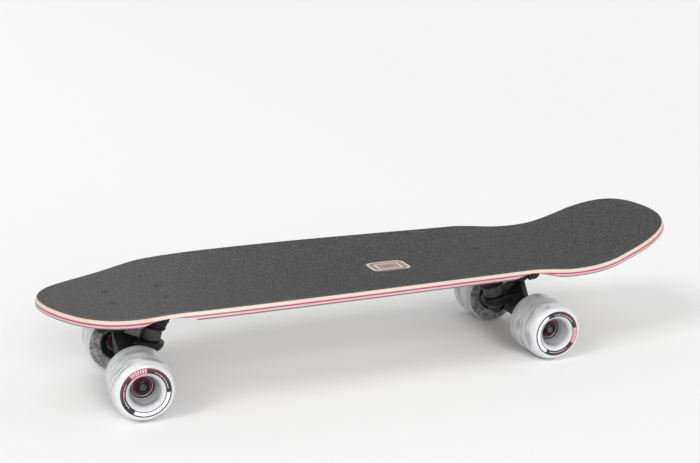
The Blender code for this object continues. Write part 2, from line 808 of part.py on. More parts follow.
def pivot_cup_mesh():
    """The pivot cup about Z: a lipped liner that opens towards -Z."""
    lip_top = CUP_LIP_HEIGHT - CUP_LIP_AHEAD
    bore = PIVOT_NOSE_RADIUS + GAP
    profile = [
        (0, CUP_END),
        (CUP_RADIUS, CUP_END),
        (CUP_RADIUS, lip_top),
        (CUP_LIP_RADIUS, lip_top),
        (CUP_LIP_RADIUS, -CUP_LIP_AHEAD),
        (bore, -CUP_LIP_AHEAD),
        (bore, PIVOT_NOSE_DEPTH + GAP),
        (0, PIVOT_NOSE_DEPTH + GAP),
    ]
    return turned_mesh("pivot_cup", profile)


def hanger_mesh():
    """The hanger: a crested body, arms for the axle, a yoke with the kingpin's ring, a nose."""
    body = hull("hanger", hanger_body_points())
    round_edges(body, HANGER_EDGE_ROUND, HANGER_EDGE_ANGLE)
    arms = turned("arms", arms_profile())
    arms.matrix_world = Matrix.Rotation(math.pi / 2, 4, "X")
    yoke = hull("yoke", yoke_points())
    nose = turned("pivot_nose", pivot_nose_profile())
    nose.matrix_world = along_axis(PIVOT, STEER_TILT)
    kingpin_bore = rod(
        "kingpin_bore", KINGPIN_RADIUS + RING_CLEARANCE, -RING_THICKNESS, RING_THICKNESS
    )
    kingpin_bore.matrix_world = along_axis(RING_CENTRE, KINGPIN_LEAN)
    axle_bore = rod("axle_bore", AXLE_RADIUS + GAP, -AXLE_LENGTH / 2, AXLE_LENGTH / 2)
    axle_bore.matrix_world = Matrix.Rotation(math.pi / 2, 4, "X")
    for joined in (arms, yoke, nose):
        add_boolean(body, joined, "UNION")
    for bore in (kingpin_bore, axle_bore):
        add_boolean(body, bore, "DIFFERENCE")
    return baked_mesh(body, [arms, yoke, nose, kingpin_bore, axle_bore])


def hanger_body_points():
    """Corners of the hanger's body: its crest, and the round ends where the arms begin."""
    seat = RING_THICKNESS / 2 + CREST_SEAT_RISE
    back = BOARD_BUSHING_RADIUS + CREST_BUSHING_MARGIN
    crest_inboard = RING_CENTRE - back * RING_PLANE + seat * KINGPIN_AXIS
    points = []
    for side in (-1, 1):
        end = Vector((0, side * BODY_HALF_WIDTH, BODY_END_RISE))
        points += circle_points(end, Vector((0, side, 0)), BODY_END_RADIUS)
        crest = side * CREST_HALF_WIDTH
        points += [
            crest_inboard + Vector((0, crest, 0)),
            Vector((-CREST_TOP_OUTBOARD, crest, CREST_TOP_HEIGHT)),
            Vector((-CREST_OUTBOARD, side * CREST_OUTBOARD_HALF_WIDTH, CREST_OUTBOARD_HEIGHT)),
        ]
    return points


def arms_profile():
    """Profile of the two axle arms about their own line, tapered towards the wheels."""
    chamfer = HANGER_HALF_WIDTH - HANGER_END_CHAMFER
    upper = [
        (0, HANGER_HALF_WIDTH),
        (HANGER_END_RADIUS - HANGER_END_CHAMFER, HANGER_HALF_WIDTH),
        (HANGER_END_RADIUS, chamfer),
        (ARM_RADIUS, BODY_HALF_WIDTH),
    ]
    return upper + [(radius, -station) for radius, station in reversed(upper)]


def yoke_points():
    """Corners of the ring around the kingpin and of the yoke that joins it to the body."""
    half = RING_THICKNESS / 2
    points = []
    for station, radius in ((half, RING_RADIUS), (0, RING_RADIUS), (-half, RING_FOOT_RADIUS)):
        middle = RING_CENTRE + station * KINGPIN_AXIS
        points += circle_points(middle, KINGPIN_AXIS, radius)
    for rise in (-YOKE_HALF_HEIGHT, YOKE_HALF_HEIGHT):
        root = RING_CENTRE - YOKE_REACH * RING_PLANE + rise * KINGPIN_AXIS
        for side in (-YOKE_HALF_WIDTH, YOKE_HALF_WIDTH):
            points.append(root + Vector((0, side, 0)))
    return points


def pivot_nose_profile():
    """Profile of the pivot nose about the steering axis, from its tip back into the crest."""
    tip_round = PIVOT_NOSE_RADIUS - PIVOT_NOSE_TIP_RADIUS
    return [
        (0, PIVOT_NOSE_DEPTH),
        (PIVOT_NOSE_TIP_RADIUS, PIVOT_NOSE_DEPTH),
        (PIVOT_NOSE_RADIUS, PIVOT_NOSE_DEPTH - tip_round),
        (PIVOT_NOSE_RADIUS, tip_round - PIVOT_NOSE_ROOT),
        (PIVOT_NOSE_TIP_RADIUS, -PIVOT_NOSE_ROOT - tip_round),
        (0, -PIVOT_NOSE_ROOT - tip_round),
    ]


def axle_mesh():
    """The axle about Z, with chamfered ends."""
    end = AXLE_LENGTH / 2
    profile = [
        (0, end),
        (AXLE_RADIUS - AXLE_END_CHAMFER, end),
        (AXLE_RADIUS, end - AXLE_END_CHAMFER),
        (AXLE_RADIUS, AXLE_END_CHAMFER - end),
        (AXLE_RADIUS - AXLE_END_CHAMFER, -end),
        (0, -end),
    ]
    return turned_mesh("axle", profile)


def quarter(start, end, steps):
    """Points of an elliptic quarter turn that leaves its start level and ends upright."""
    points = []
    for i in range(steps + 1):
        angle = math.pi / 2 * i / steps
        radius = start[0] + (end[0] - start[0]) * math.sin(angle)
        height = end[1] + (start[1] - end[1]) * math.cos(angle)
        points.append((radius, height))
    return points


def wheel_mesh():
    """The urethane tyre about Z, which points outward from the middle of the axle."""
    outer_face = WHEEL_INNER + WHEEL_WIDTH
    lip = outer_face - LIP_CROWN
    shoulder = quarter(
        (LIP_OUTER_RADIUS, lip), (WHEEL_RADIUS, WHEEL_INNER + TREAD_TO), SHOULDER_STEPS
    )
    inner_edge = quarter(
        (WHEEL_RADIUS - INNER_EDGE_ROUND, WHEEL_INNER),
        (WHEEL_RADIUS, WHEEL_INNER + TREAD_FROM),
        INNER_EDGE_STEPS,
    )
    flare_mouth = WHEEL_INNER + CORE_FLARE_RECESS
    core_end = BEARING_FACE + CORE_LIP_PROUD
    profile = [
        ((LIP_OUTER_RADIUS + LIP_INNER_RADIUS) / 2, outer_face),
        *shoulder,
        *reversed(inner_edge),
        (CORE_FLARE_RADIUS + CORE_FLARE_RECESS + GAP, WHEEL_INNER),
        (CORE_FLARE_RADIUS + GAP, flare_mouth),
        (CORE_RADIUS + GAP, INNER_BEARING + CORE_FLARE_ROOT),
        (CORE_RADIUS + GAP, core_end - CORE_LIP_SLOPE + GAP),
        (CORE_LIP_RADIUS + GAP, core_end + GAP),
        (CAVITY_FLOOR_RADIUS, core_end + 2 * GAP),
        (CAVITY_MOUTH_RADIUS, outer_face - CAVITY_MOUTH_DEPTH),
        (LIP_INNER_RADIUS, lip),
    ]
    return turned_mesh("wheel", profile, WHEEL_STEPS, closed=True)


def wheel_core_mesh():
    """The hard core about Z: two bearing seats either side of a shoulder, and an inner flare."""
    seat = BEARING_RADIUS + GAP
    core_end = BEARING_FACE + CORE_LIP_PROUD
    flare_mouth = WHEEL_INNER + CORE_FLARE_RECESS
    profile = [
        (CORE_LIP_RADIUS, core_end),
        (CORE_RADIUS, core_end - CORE_LIP_SLOPE),
        (CORE_RADIUS, INNER_BEARING + CORE_FLARE_ROOT),
        (CORE_FLARE_RADIUS, flare_mouth),
        (CORE_FLARE_RADIUS - CORE_FLARE_WALL, flare_mouth),
        (CORE_FUNNEL_RADIUS, INNER_BEARING - CORE_FUNNEL_RECESS),
        (seat, INNER_BEARING - GAP),
        (seat, INNER_BEARING + BEARING_WIDTH + GAP),
        (CORE_SHOULDER_RADIUS, INNER_BEARING + BEARING_WIDTH + GAP),
        (CORE_SHOULDER_RADIUS, OUTER_BEARING - GAP),
        (seat, OUTER_BEARING - GAP),
        (seat, core_end),
    ]
    return turned_mesh("wheel_core", profile, ROUND_STEPS, closed=True)


def axle_place(end):
    """The middle of a truck's axle. The end is -1 at the nose and 1 at the tail."""
    return Vector((MIDDLE + end * WHEELBASE / 2, 0, AXLE_HEIGHT))


def truck_turn(end):
    """The turn that points a truck's own +X inboard."""
    return Matrix.Rotation(math.pi if end > 0 else 0, 4, "Z")


def add_piece(name, mesh, parent, material, location=(0, 0, 0), tilt=0.0):
    """One piece of the board, under its parent, leaning about Y by the tilt."""
    obj = new_object(name, mesh, PARTS, parent, material)
    obj.location = location
    obj.rotation_euler = (0, tilt, 0)
    return obj


def add_mounting_hardware(end_name, truck, shared, materials):
    """The bolts and nuts that hold a truck to the deck."""
    flush = GRIP_TOP - AXLE_HEIGHT
    nut_top = TRUCK_HEIGHT - PLATE_THICKNESS - GAP
    for number, place in enumerate(bolt_places(), start=1):
        bolt_at = Vector((place.x, place.y, flush))
        nut_at = Vector((place.x, place.y, nut_top - DECK_NUT_HEIGHT))
        add_piece(
            f"deck_bolt_{end_name}_{number}", shared["bolt"], truck, materials["steel"], bolt_at
        )
        add_piece(
            f"deck_nut_{end_name}_{number}", shared["deck_nut"], truck, materials["steel"], nut_at
        )


def add_kingpin_stack(end_name, truck, shared, materials):
    """The kingpin with the bushings, washers and nut that it carries."""
    stack = [
        ("kingpin", "kingpin", "steel", 0.0),
        ("bushing_board", "bushing_board", "bushing", BOARD_SEAT),
        ("washer_board", "washer_board", "steel", BOARD_WASHER_AT),
        ("bushing_road", "bushing_road", "bushing", ROAD_SEAT - ROAD_BUSHING_HEIGHT),
        ("washer_road", "washer_road", "steel", ROAD_WASHER_AT - ROAD_WASHER_HEIGHT),
        ("kingpin_nut", "kingpin_nut", "steel", KINGPIN_NUT_AT - KINGPIN_NUT_HEIGHT),
    ]
    for name, shape, material, station in stack:
        add_piece(
            f"{name}_{end_name}",
            shared[shape],
            truck,
            materials[material],
            RING_CENTRE + station * KINGPIN_AXIS,
            KINGPIN_LEAN,
        )


def add_wheel(name, side, steer, shared, materials):
    """A wheel with its core and bearings, and the nut that keeps it on the axle."""
    turn = (-side * math.pi / 2, 0, 0)
    spin = new_empty(f"spin_axis_{name}", -RING_CENTRE, steer, turn)
    add_piece(f"wheel_{name}", shared["wheel"], spin, materials["urethane"])
    add_piece(f"wheel_core_{name}", shared["wheel_core"], spin, materials["core"])
    for place, station in (("inner", INNER_BEARING), ("outer", OUTER_BEARING)):
        add_piece(
            f"bearing_{place}_{name}",
            shared["bearing"],
            spin,
            materials["bearing"],
            (0, 0, station),
        )
    nut = add_piece(f"axle_nut_{name}", shared["axle_nut"], steer, materials["steel"])
    nut.location = Vector((0, side * (BEARING_FACE + GAP), 0)) - RING_CENTRE
    nut.rotation_euler = turn


def add_truck(end_name, end, shared, materials):
    """One truck with its riser, hardware, steering parts and two wheels."""
    turn = truck_turn(end).to_euler()
    truck = new_empty(f"truck_{end_name}", axle_place(end), None, turn)
    steer = new_empty(f"steer_axis_{end_name}", RING_CENTRE, truck)
    add_piece(f"riser_pad_{end_name}", shared["riser"], truck, materials["riser"])
    add_piece(f"baseplate_{end_name}", shared["baseplate"], truck, materials["casting"])
    add_mounting_hardware(end_name, truck, shared, materials)
    add_kingpin_stack(end_name, truck, shared, materials)
    add_piece(
        f"pivot_cup_{end_name}", shared["pivot_cup"], truck, materials["bushing"], PIVOT, STEER_TILT
    )
    add_piece(
        f"hanger_{end_name}", shared["hanger"], steer, materials["casting"], -RING_CENTRE
    )
    axle = add_piece(f"axle_{end_name}", shared["axle"], steer, materials["steel"], -RING_CENTRE)
    axle.rotation_euler = (math.pi / 2, 0, 0)
    for side_name, board_side in SIDES:
        side = board_side if end < 0 else -board_side
        add_wheel(f"{end_name}_{side_name}", side, steer, shared, materials)


def bolt_mesh():
    """The mounting bolt about Z, its head flush at z = 0, with a hexagon socket."""
    bolt = turned("deck_bolt", bolt_profile(0.0, 0.0, BOLT_LENGTH), SMALL_STEPS)
    socket = rod(
        "socket", hex_radius(BOLT_SOCKET_FLATS), -BOLT_SOCKET_DEPTH, REACH_PAST, steps=6
    )
    add_boolean(bolt, socket, "DIFFERENCE")
    return baked_mesh(bolt, [socket])


def shared_meshes():
    """The meshes that both trucks and all four wheels use."""
    kingpin_bore = KINGPIN_RADIUS + GAP
    bolt_holes = bolt_cutter("truck_bolt_holes", bolt_places(), GRIP_TOP - AXLE_HEIGHT)
    meshes = {
        "bolt": bolt_mesh(),
        "deck_nut": hex_nut_mesh(
            "deck_nut", DECK_NUT_FLATS, DECK_NUT_HEIGHT, BOLT_RADIUS + GAP
        ),
        "riser": riser_mesh(bolt_holes),
        "baseplate": baseplate_mesh(bolt_holes),
        "kingpin": kingpin_mesh(),
        "kingpin_nut": hex_nut_mesh(
            "kingpin_nut", KINGPIN_HEAD_FLATS, KINGPIN_NUT_HEIGHT, kingpin_bore
        ),
        "bushing_board": ring_mesh(
            "bushing_board",
            BOARD_BUSHING_RADIUS,
            BOARD_BUSHING_RADIUS,
            BOARD_BUSHING_HEIGHT,
            kingpin_bore,
            BUSHING_EDGE,
        ),
        "bushing_road": ring_mesh(
            "bushing_road",
            ROAD_BUSHING_RADIUS,
            ROAD_BUSHING_END_RADIUS,
            ROAD_BUSHING_HEIGHT,
            kingpin_bore,
            BUSHING_EDGE,
        ),
        "washer_board": ring_mesh(
            "washer_board",
            BOARD_WASHER_RADIUS,
            BOARD_WASHER_RADIUS,
            BOARD_WASHER_HEIGHT,
            kingpin_bore,
            WASHER_EDGE,
        ),
        "washer_road": ring_mesh(
            "washer_road",
            ROAD_WASHER_RADIUS,
            ROAD_WASHER_RADIUS,
            ROAD_WASHER_HEIGHT,
            kingpin_bore,
            WASHER_EDGE,
        ),
        "pivot_cup": pivot_cup_mesh(),
        "hanger": hanger_mesh(),
        "axle": axle_mesh(),
        "axle_nut": hex_nut_mesh(
            "axle_nut", AXLE_NUT_FLATS, AXLE_NUT_HEIGHT, AXLE_RADIUS + GAP
        ),
        "wheel": wheel_mesh(),
        "wheel_core": wheel_core_mesh(),
        "bearing": ring_mesh(
            "bearing",
            BEARING_RADIUS,
            BEARING_RADIUS,
            BEARING_WIDTH,
            AXLE_RADIUS + GAP,
            BEARING_EDGE_ROUND,
        ),
    }
    bpy.data.objects.remove(bolt_holes, do_unlink=True)
    return meshes


def board_materials():
    """The finishes of the board's pieces."""
    return {
        "wood": new_material("maple", (0.80, 0.62, 0.45), 0.45),
        "grip": new_material("grip", (0.085, 0.085, 0.088), 0.95),
        "riser": new_material("riser", (0.015, 0.015, 0.016), 0.60),
        "casting": new_material("black_casting", (0.012, 0.012, 0.013), 0.40, 0.6),
        "steel": new_material("black_steel", (0.020, 0.020, 0.022), 0.35, 0.8),
        "bushing": new_material("dark_urethane", (0.045, 0.047, 0.050), 0.45),
        "urethane": new_material("milky_urethane", (0.72, 0.73, 0.74), 0.30),
        "core": new_material("black_core", (0.015, 0.015, 0.016), 0.40),
        "bearing": new_material("bearing_steel", (0.22, 0.012, 0.030), 0.35, 0.3),
    }


def build_board():
    """Builds the whole board."""
    materials = board_materials()
    bolt_holes = bolt_cutter("board_bolt_holes", board_bolt_places(), GRIP_TOP)
    add_deck(materials["wood"], bolt_holes)
    add_grip_tape(materials["grip"], bolt_holes)
    shared = shared_meshes()
    for end_name, end in (("front", -1), ("rear", 1)):
        add_truck(end_name, end, shared, materials)


clear_scene()
PARTS = new_collection("cruiser_skateboard")
CUTTERS = new_collection("cutters")
build_board()
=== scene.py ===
"""Looks for the cruiser skateboard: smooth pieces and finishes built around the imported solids.

Metres, +Z up. The nose points to -X, the tail to +X, and the left side is -Y. Each truck is
shaped in its own frame: +X runs inboard and the origin is the middle of the axle. Wheels and
other turned pieces are shaped about Z. Every finished piece has its place in its mesh.
"""

from __future__ import annotations

import functools
import json
import logging
import math
from collections.abc import Iterable, Mapping, Sequence
from dataclasses import dataclass, field
from enum import Enum

import bmesh
import bpy
import numpy as np
from mathutils import Matrix, Vector
from mathutils.geometry import interpolate_bezier

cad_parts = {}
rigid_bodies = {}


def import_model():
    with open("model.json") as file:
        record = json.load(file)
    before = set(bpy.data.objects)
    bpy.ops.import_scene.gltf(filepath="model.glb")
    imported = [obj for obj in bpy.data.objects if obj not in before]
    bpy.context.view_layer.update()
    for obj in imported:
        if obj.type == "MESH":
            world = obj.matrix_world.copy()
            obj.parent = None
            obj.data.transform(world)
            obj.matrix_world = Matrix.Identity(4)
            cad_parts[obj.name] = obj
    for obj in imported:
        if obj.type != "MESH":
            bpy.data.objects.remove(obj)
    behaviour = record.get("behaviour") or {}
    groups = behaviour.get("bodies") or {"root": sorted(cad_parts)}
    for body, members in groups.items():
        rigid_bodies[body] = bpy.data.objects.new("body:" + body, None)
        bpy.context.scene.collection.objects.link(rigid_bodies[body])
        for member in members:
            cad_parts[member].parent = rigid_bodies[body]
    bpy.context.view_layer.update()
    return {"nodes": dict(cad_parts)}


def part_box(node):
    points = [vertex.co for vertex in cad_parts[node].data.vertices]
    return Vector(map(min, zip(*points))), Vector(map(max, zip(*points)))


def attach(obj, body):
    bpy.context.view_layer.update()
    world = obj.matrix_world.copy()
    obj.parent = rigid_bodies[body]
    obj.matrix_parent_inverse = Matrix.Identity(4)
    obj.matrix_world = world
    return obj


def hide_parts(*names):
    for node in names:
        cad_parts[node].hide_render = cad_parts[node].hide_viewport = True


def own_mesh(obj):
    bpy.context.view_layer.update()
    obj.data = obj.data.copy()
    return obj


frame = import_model()

LOG = logging.getLogger("cruiser_skateboard")

# Clearance between fitted pieces, and the distance under which points merge
GAP = 0.0003
WELD = 0.000001
# Edges that turn more than this stay sharp
SHARP_ANGLE = math.radians(34)
TURN = 2 * math.pi
# How far a cutter reaches past the face that it cuts
REACH_PAST = 0.002
AXLE_RADIUS = 0.00397
# Radius of the circle that profiles are swept along
SWING = 0.02
PLY_DEPTH = "ply_depth"
# Places: as it is, from Z to Y, and upside down
HERE = Matrix()
TO_Y = Matrix.Rotation(math.pi / 2, 4, "X")
OVER = Matrix.Rotation(math.pi, 4, "X")

Mesh = bpy.types.Mesh
Socket = bpy.types.NodeSocket
Point = tuple[float, float]
Span = tuple[float, float]
Corner = tuple[float, float, float]
Colour = tuple[float, float, float]
Stop = tuple[float, Colour]
Value = float | Socket
Tone = Colour | Socket
Part = tuple[Mesh, Matrix]
Dressed = tuple[Mesh, "Finish"]


class Place(Enum):
    """A named place on the board, with its sign along an axis."""

    @property
    def word(self) -> str:
        """The place's word in the names of pieces."""
        return self.name.lower()


class End(Place):
    """The two ends of the board along X."""

    FRONT = -1
    REAR = 1


class Side(Place):
    """The two sides of the board along Y."""

    LEFT = -1
    RIGHT = 1


class Slot(Enum):
    """Material slots of the record."""

    WOOD = "wood"
    GRIP = "grip"
    RISER = "riser"
    CASTING = "casting"
    HARDWARE = "hardware"
    BUSHING = "bushing"
    URETHANE = "urethane"
    CORE = "core"
    BEARING = "bearing"


# Node trees


@dataclass(frozen=True)
class Cloud:
    """A noise: cells per metre, finer layers, how far it is bent, and how rough its layers are."""

    scale: float
    layers: float = 2.0
    bend: float = 0.0
    rough: float = 0.5


class Graph:
    """Short calls that add the nodes of a tree and join them."""

    def __init__(self, tree: bpy.types.NodeTree) -> None:
        """Keeps the tree that the calls add to."""
        self.tree = tree

    def add(self, kind: str, inputs: dict | None = None, **settings) -> bpy.types.Node:
        """Adds one node.

        Args:
            kind: Blender's name for the node type.
            inputs: Values, or sockets to join, by input name or number.
            **settings: The node's own properties.

        Returns:
            The new node.
        """
        node = self.tree.nodes.new(kind)
        for name, value in settings.items():
            setattr(node, name, value)
        self.fill(node, inputs or {})
        return node

    def fill(self, node: bpy.types.Node, inputs: dict) -> None:
        """Joins a node's inputs to sockets, or sets their own values.

        Args:
            node: The node.
            inputs: Values, or sockets to join, by input name or number.
        """
        for key, value in inputs.items():
            socket = node.inputs[key]
            if isinstance(value, Socket):
                self.tree.links.new(value, socket)
            elif socket.type == "RGBA":
                socket.default_value = (*value[:3], 1.0)
            else:
                socket.default_value = value

    def math(self, operation: str, *values: Value) -> Socket:
        """Adds a Math node for an operation, and gives the socket with its result."""
        inputs = dict(enumerate(values))
        return self.add("ShaderNodeMath", inputs, operation=operation).outputs[0]

    def step(self, value: Value, low: float, high: float, most: Value = 1.0) -> Socket:
        """Adds a smooth step up to a share.

        Args:
            value: The socket to read.
            low: The value that gives 0.
            high: The value that gives the whole share.
            most: The whole share, a number or a socket.

        Returns:
            The socket with the share.
        """
        inputs = {"Value": value, "From Min": low, "From Max": high, "To Max": most}
        node = self.add("ShaderNodeMapRange", inputs, interpolation_type="SMOOTHSTEP")
        return node.outputs["Result"]

    def radius(self, first: Value, second: Value) -> Socket:
        """The distance from an axis, from the two numbers across it."""
        square = self.math("MULTIPLY_ADD", first, first, self.math("MULTIPLY", second, second))
        return self.math("SQRT", square)

    def mix(self, share: Value, first: Tone, second: Tone, blend: str = "MIX") -> Socket:
        """Adds a mix of two colours, by the share of the second, and gives the mixed colour."""
        inputs = {0: share, 6: first, 7: second}
        return self.add("ShaderNodeMix", inputs, data_type="RGBA", blend_type=blend).outputs[2]

    def bands(self, value: Value, stops: Sequence[Stop]) -> Socket:
        """Adds a colour ramp.

        Args:
            value: The socket to read.
            stops: Positions and their colours, in order.

        Returns:
            The socket with the colour.
        """
        node = self.add("ShaderNodeValToRGB", {"Fac": value})
        elements = node.color_ramp.elements
        while len(elements) < len(stops):
            elements.new(1.0)
        for element, (position, colour) in zip(elements, stops):
            element.position = position
            element.color = (*colour, 1.0)
        return node.outputs["Color"]

    def noise(self, vector: Socket, cloud: Cloud) -> Socket:
        """Adds a noise.

        Args:
            vector: The socket with the place.
            cloud: The noise's scale and character.

        Returns:
            The socket with the value from 0 to 1.
        """
        inputs = {"Vector": vector, "Scale": cloud.scale, "Detail": cloud.layers}
        inputs |= {"Roughness": cloud.rough, "Distortion": cloud.bend}
        return self.add("ShaderNodeTexNoise", inputs).outputs[0]

    def bump(self, height: Socket, depth: float) -> Socket:
        """Adds a bump, of a depth in metres where the height is 1, and gives the normal."""
        return self.add("ShaderNodeBump", {"Height": height, "Distance": depth}).outputs["Normal"]

    def place(self, centre: Corner = (0, 0, 0), stretch: Corner = (1, 1, 1)) -> Socket:
        """Adds object coordinates about a centre.

        Args:
            centre: The point that becomes the origin.
            stretch: How much the pattern is squeezed along each axis.

        Returns:
            The socket with the place.
        """
        where = self.add("ShaderNodeTexCoord").outputs["Object"]
        inputs = {"Vector": where, "Location": centre}
        moved = self.add("ShaderNodeMapping", inputs, vector_type="TEXTURE").outputs[0]
        return self.add("ShaderNodeMapping", {"Vector": moved, "Scale": stretch}).outputs[0]

    def split(self, vector: Socket) -> tuple[Socket, ...]:
        """The three numbers of a vector."""
        return tuple(self.add("ShaderNodeSeparateXYZ", {0: vector}).outputs)

    def vector(self, **numbers: Value) -> Socket:
        """A vector from its X, Y and Z."""
        return self.add("ShaderNodeCombineXYZ", numbers).outputs[0]

    def form(self, kind: str, inputs: dict | None = None) -> Socket:
        """The geometry, or first value, of a new geometry node."""
        return self.add(f"GeometryNode{kind}", inputs).outputs[0]


# Finishes


def srgb(red: float, green: float, blue: float) -> Colour:
    """Turns screen values from 0 to 255 into a linear colour."""
    shares = [value / 255 for value in (red, green, blue)]
    return tuple(v / 12.92 if v <= 0.04045 else ((v + 0.055) / 1.055) ** 2.4 for v in shares)


@dataclass(frozen=True)
class Finish:
    """A surface finish. Each kind of finish adds its own nodes."""

    name: str

    def paint(self, graph: Graph) -> dict:
        """Adds the finish's nodes, and gives the shader's inputs by name."""
        raise NotImplementedError


@functools.cache
def material_of(finish: Finish) -> bpy.types.Material:
    """Builds the material of a finish once.

    Args:
        finish: The finish.

    Returns:
        Its material.
    """
    material = bpy.data.materials.new(finish.name)
    material.use_nodes = True
    graph = Graph(material.node_tree)
    graph.fill(material.node_tree.nodes["Principled BSDF"], finish.paint(graph))
    return material


@dataclass(frozen=True)
class PressedMaple(Finish):
    """Lacquered maple plies, the middle one magenta between two that its dye has tinted, and a painted
    shade along the lower edge.
    """

    name: str = "pressed_maple"
    cream: Colour = srgb(217, 196, 181)
    honey: Colour = srgb(238, 224, 208)
    tint: Colour = srgb(202, 138, 156)
    magenta: Colour = srgb(154, 54, 102)
    blush: Colour = srgb(202, 176, 174)
    glue: Colour = srgb(196, 170, 154)
    # Painted shade: the grey band along the lower edge, where it turns down away from the light
    scuff: Colour = srgb(108, 104, 102)
    under: Colour = srgb(206, 204, 201)
    tint_from: float = 0.365
    magenta_from: float = 0.445
    magenta_to: float = 0.580
    tint_to: float = 0.715
    scuff_from: float = 0.810
    line: float = 0.010
    stretch: Corner = (0.035, 1.0, 1.0)
    pores: Cloud = Cloud(1300.0, 4.0, 0.4)
    figure: Cloud = Cloud(95.0, 3.0, 1.6)
    waver: Cloud = Cloud(28.0)
    waver_depth: float = 0.016
    pore_share: float = 0.45
    grain_span: Span = (0.46, 0.66)
    grain_most: float = 0.75
    pore_depth: float = 0.00004

    def seam(self, at: float, ply: Colour) -> list[Stop]:
        """The stops of a glue line inside a ply."""
        return [(at - self.line, ply), (at, self.glue), (at + self.line, ply)]

    def stops(self) -> list[Stop]:
        """Lists the plies from the top face to the bottom one.

        Returns:
            Positions and colours.
        """
        return [
            (0.0, self.cream),
            *self.seam(self.magenta_from / 3, self.cream),
            *self.seam(2 * self.magenta_from / 3, self.cream),
            (self.tint_from, self.cream),
            (self.magenta_from - 3 * self.line, self.tint),
            (self.magenta_from + self.line, self.magenta),
            (self.magenta_to - self.line, self.magenta),
            (self.magenta_to + 3 * self.line, self.tint),
            (self.tint_to, self.blush),
            *self.seam((self.tint_to + self.scuff_from) / 2, self.blush),
            (self.scuff_from, self.blush),
            # Painted shade along the lower edge, then the underside
            (self.scuff_from + 2 * self.line, self.scuff),
            (1.0 - 2 * self.line, self.scuff),
            (1.0 - self.line, self.under),
        ]

    def paint(self, graph: Graph) -> dict:
        """Paints the plies by depth, and the grain along the board.

        Args:
            graph: The material's nodes.

        Returns:
            The shader's inputs by name.
        """
        depth = graph.add("ShaderNodeAttribute", attribute_name=PLY_DEPTH).outputs["Fac"]
        along = graph.place(stretch=self.stretch)
        pores, figure = graph.noise(along, self.pores), graph.noise(along, self.figure)
        waver = graph.noise(graph.place(), self.waver)
        waver = graph.math("MULTIPLY_ADD", waver, self.waver_depth, -self.waver_depth / 2)
        plies = graph.bands(graph.math("ADD", depth, waver), self.stops())
        rest = graph.math("MULTIPLY", figure, 1 - self.pore_share)
        grain = graph.math("MULTIPLY_ADD", pores, self.pore_share, rest)
        shade = graph.step(grain, *self.grain_span, self.grain_most)
        return {
            "Base Color": graph.mix(shade, plies, self.honey, "MULTIPLY"),
            "Roughness": 0.42,
            "Coat Weight": 0.2,
            "Coat Roughness": 0.2,
            "Normal": graph.bump(pores, self.pore_depth),
        }


@dataclass(frozen=True)
class Grit(Finish):
    """Grip tape: packed dark grains in small clumps, a few bright ones, and painted light that makes the
    nose lighter.
    """

    name: str = "grit"
    dark: Colour = srgb(36, 36, 37)
    mid: Colour = srgb(92, 92, 93)
    glint: Colour = srgb(146, 146, 148)
    # Painted light: the lighter grey that the grit takes towards the nose, where more light falls
    dust: Colour = srgb(128, 128, 129)
    grains: float = 1900.0
    clumps: Cloud = Cloud(640.0)
    patches: Cloud = Cloud(55.0, 4.0)
    clump_span: Span = (0.34, 0.66)
    clump_share: float = 0.72
    grain_share: float = 0.26
    patch_share: float = 0.20
    glint_span: Span = (0.955, 0.985)
    dusty_at: float = -0.36
    clean_at: float = 0.02
    dust_most: float = 0.22
    clump_height: float = 0.6
    grain_depth: float = 0.00030

    def paint(self, graph: Graph) -> dict:
        """Paints each grain in its own grey and gives it its height.

        Args:
            graph: The material's nodes.

        Returns:
            The shader's inputs by name.
        """
        where = graph.place()
        cells = graph.add("ShaderNodeTexVoronoi", {"Vector": where, "Scale": self.grains})
        shade = graph.split(cells.outputs["Color"])[0]
        clumps = graph.noise(where, self.clumps)
        grey = graph.math("MULTIPLY", shade, self.grain_share)
        clump = graph.step(clumps, *self.clump_span)
        grey = graph.math("MULTIPLY_ADD", clump, self.clump_share, grey)
        grey = graph.math("MULTIPLY_ADD", graph.noise(where, self.patches), self.patch_share, grey)
        # Painted light: the grit grows lighter towards the nose
        nose_lit = graph.step(graph.split(where)[0], self.clean_at, self.dusty_at, self.dust_most)
        body = graph.mix(nose_lit, graph.mix(grey, self.dark, self.mid), self.dust)
        height = graph.math("MULTIPLY_ADD", clumps, self.clump_height, cells.outputs["Distance"])
        return {
            "Base Color": graph.mix(graph.step(shade, *self.glint_span), body, self.glint),
            "Roughness": 0.86,
            "Specular IOR Level": 0.2,
            "Normal": graph.bump(height, self.grain_depth),
        }


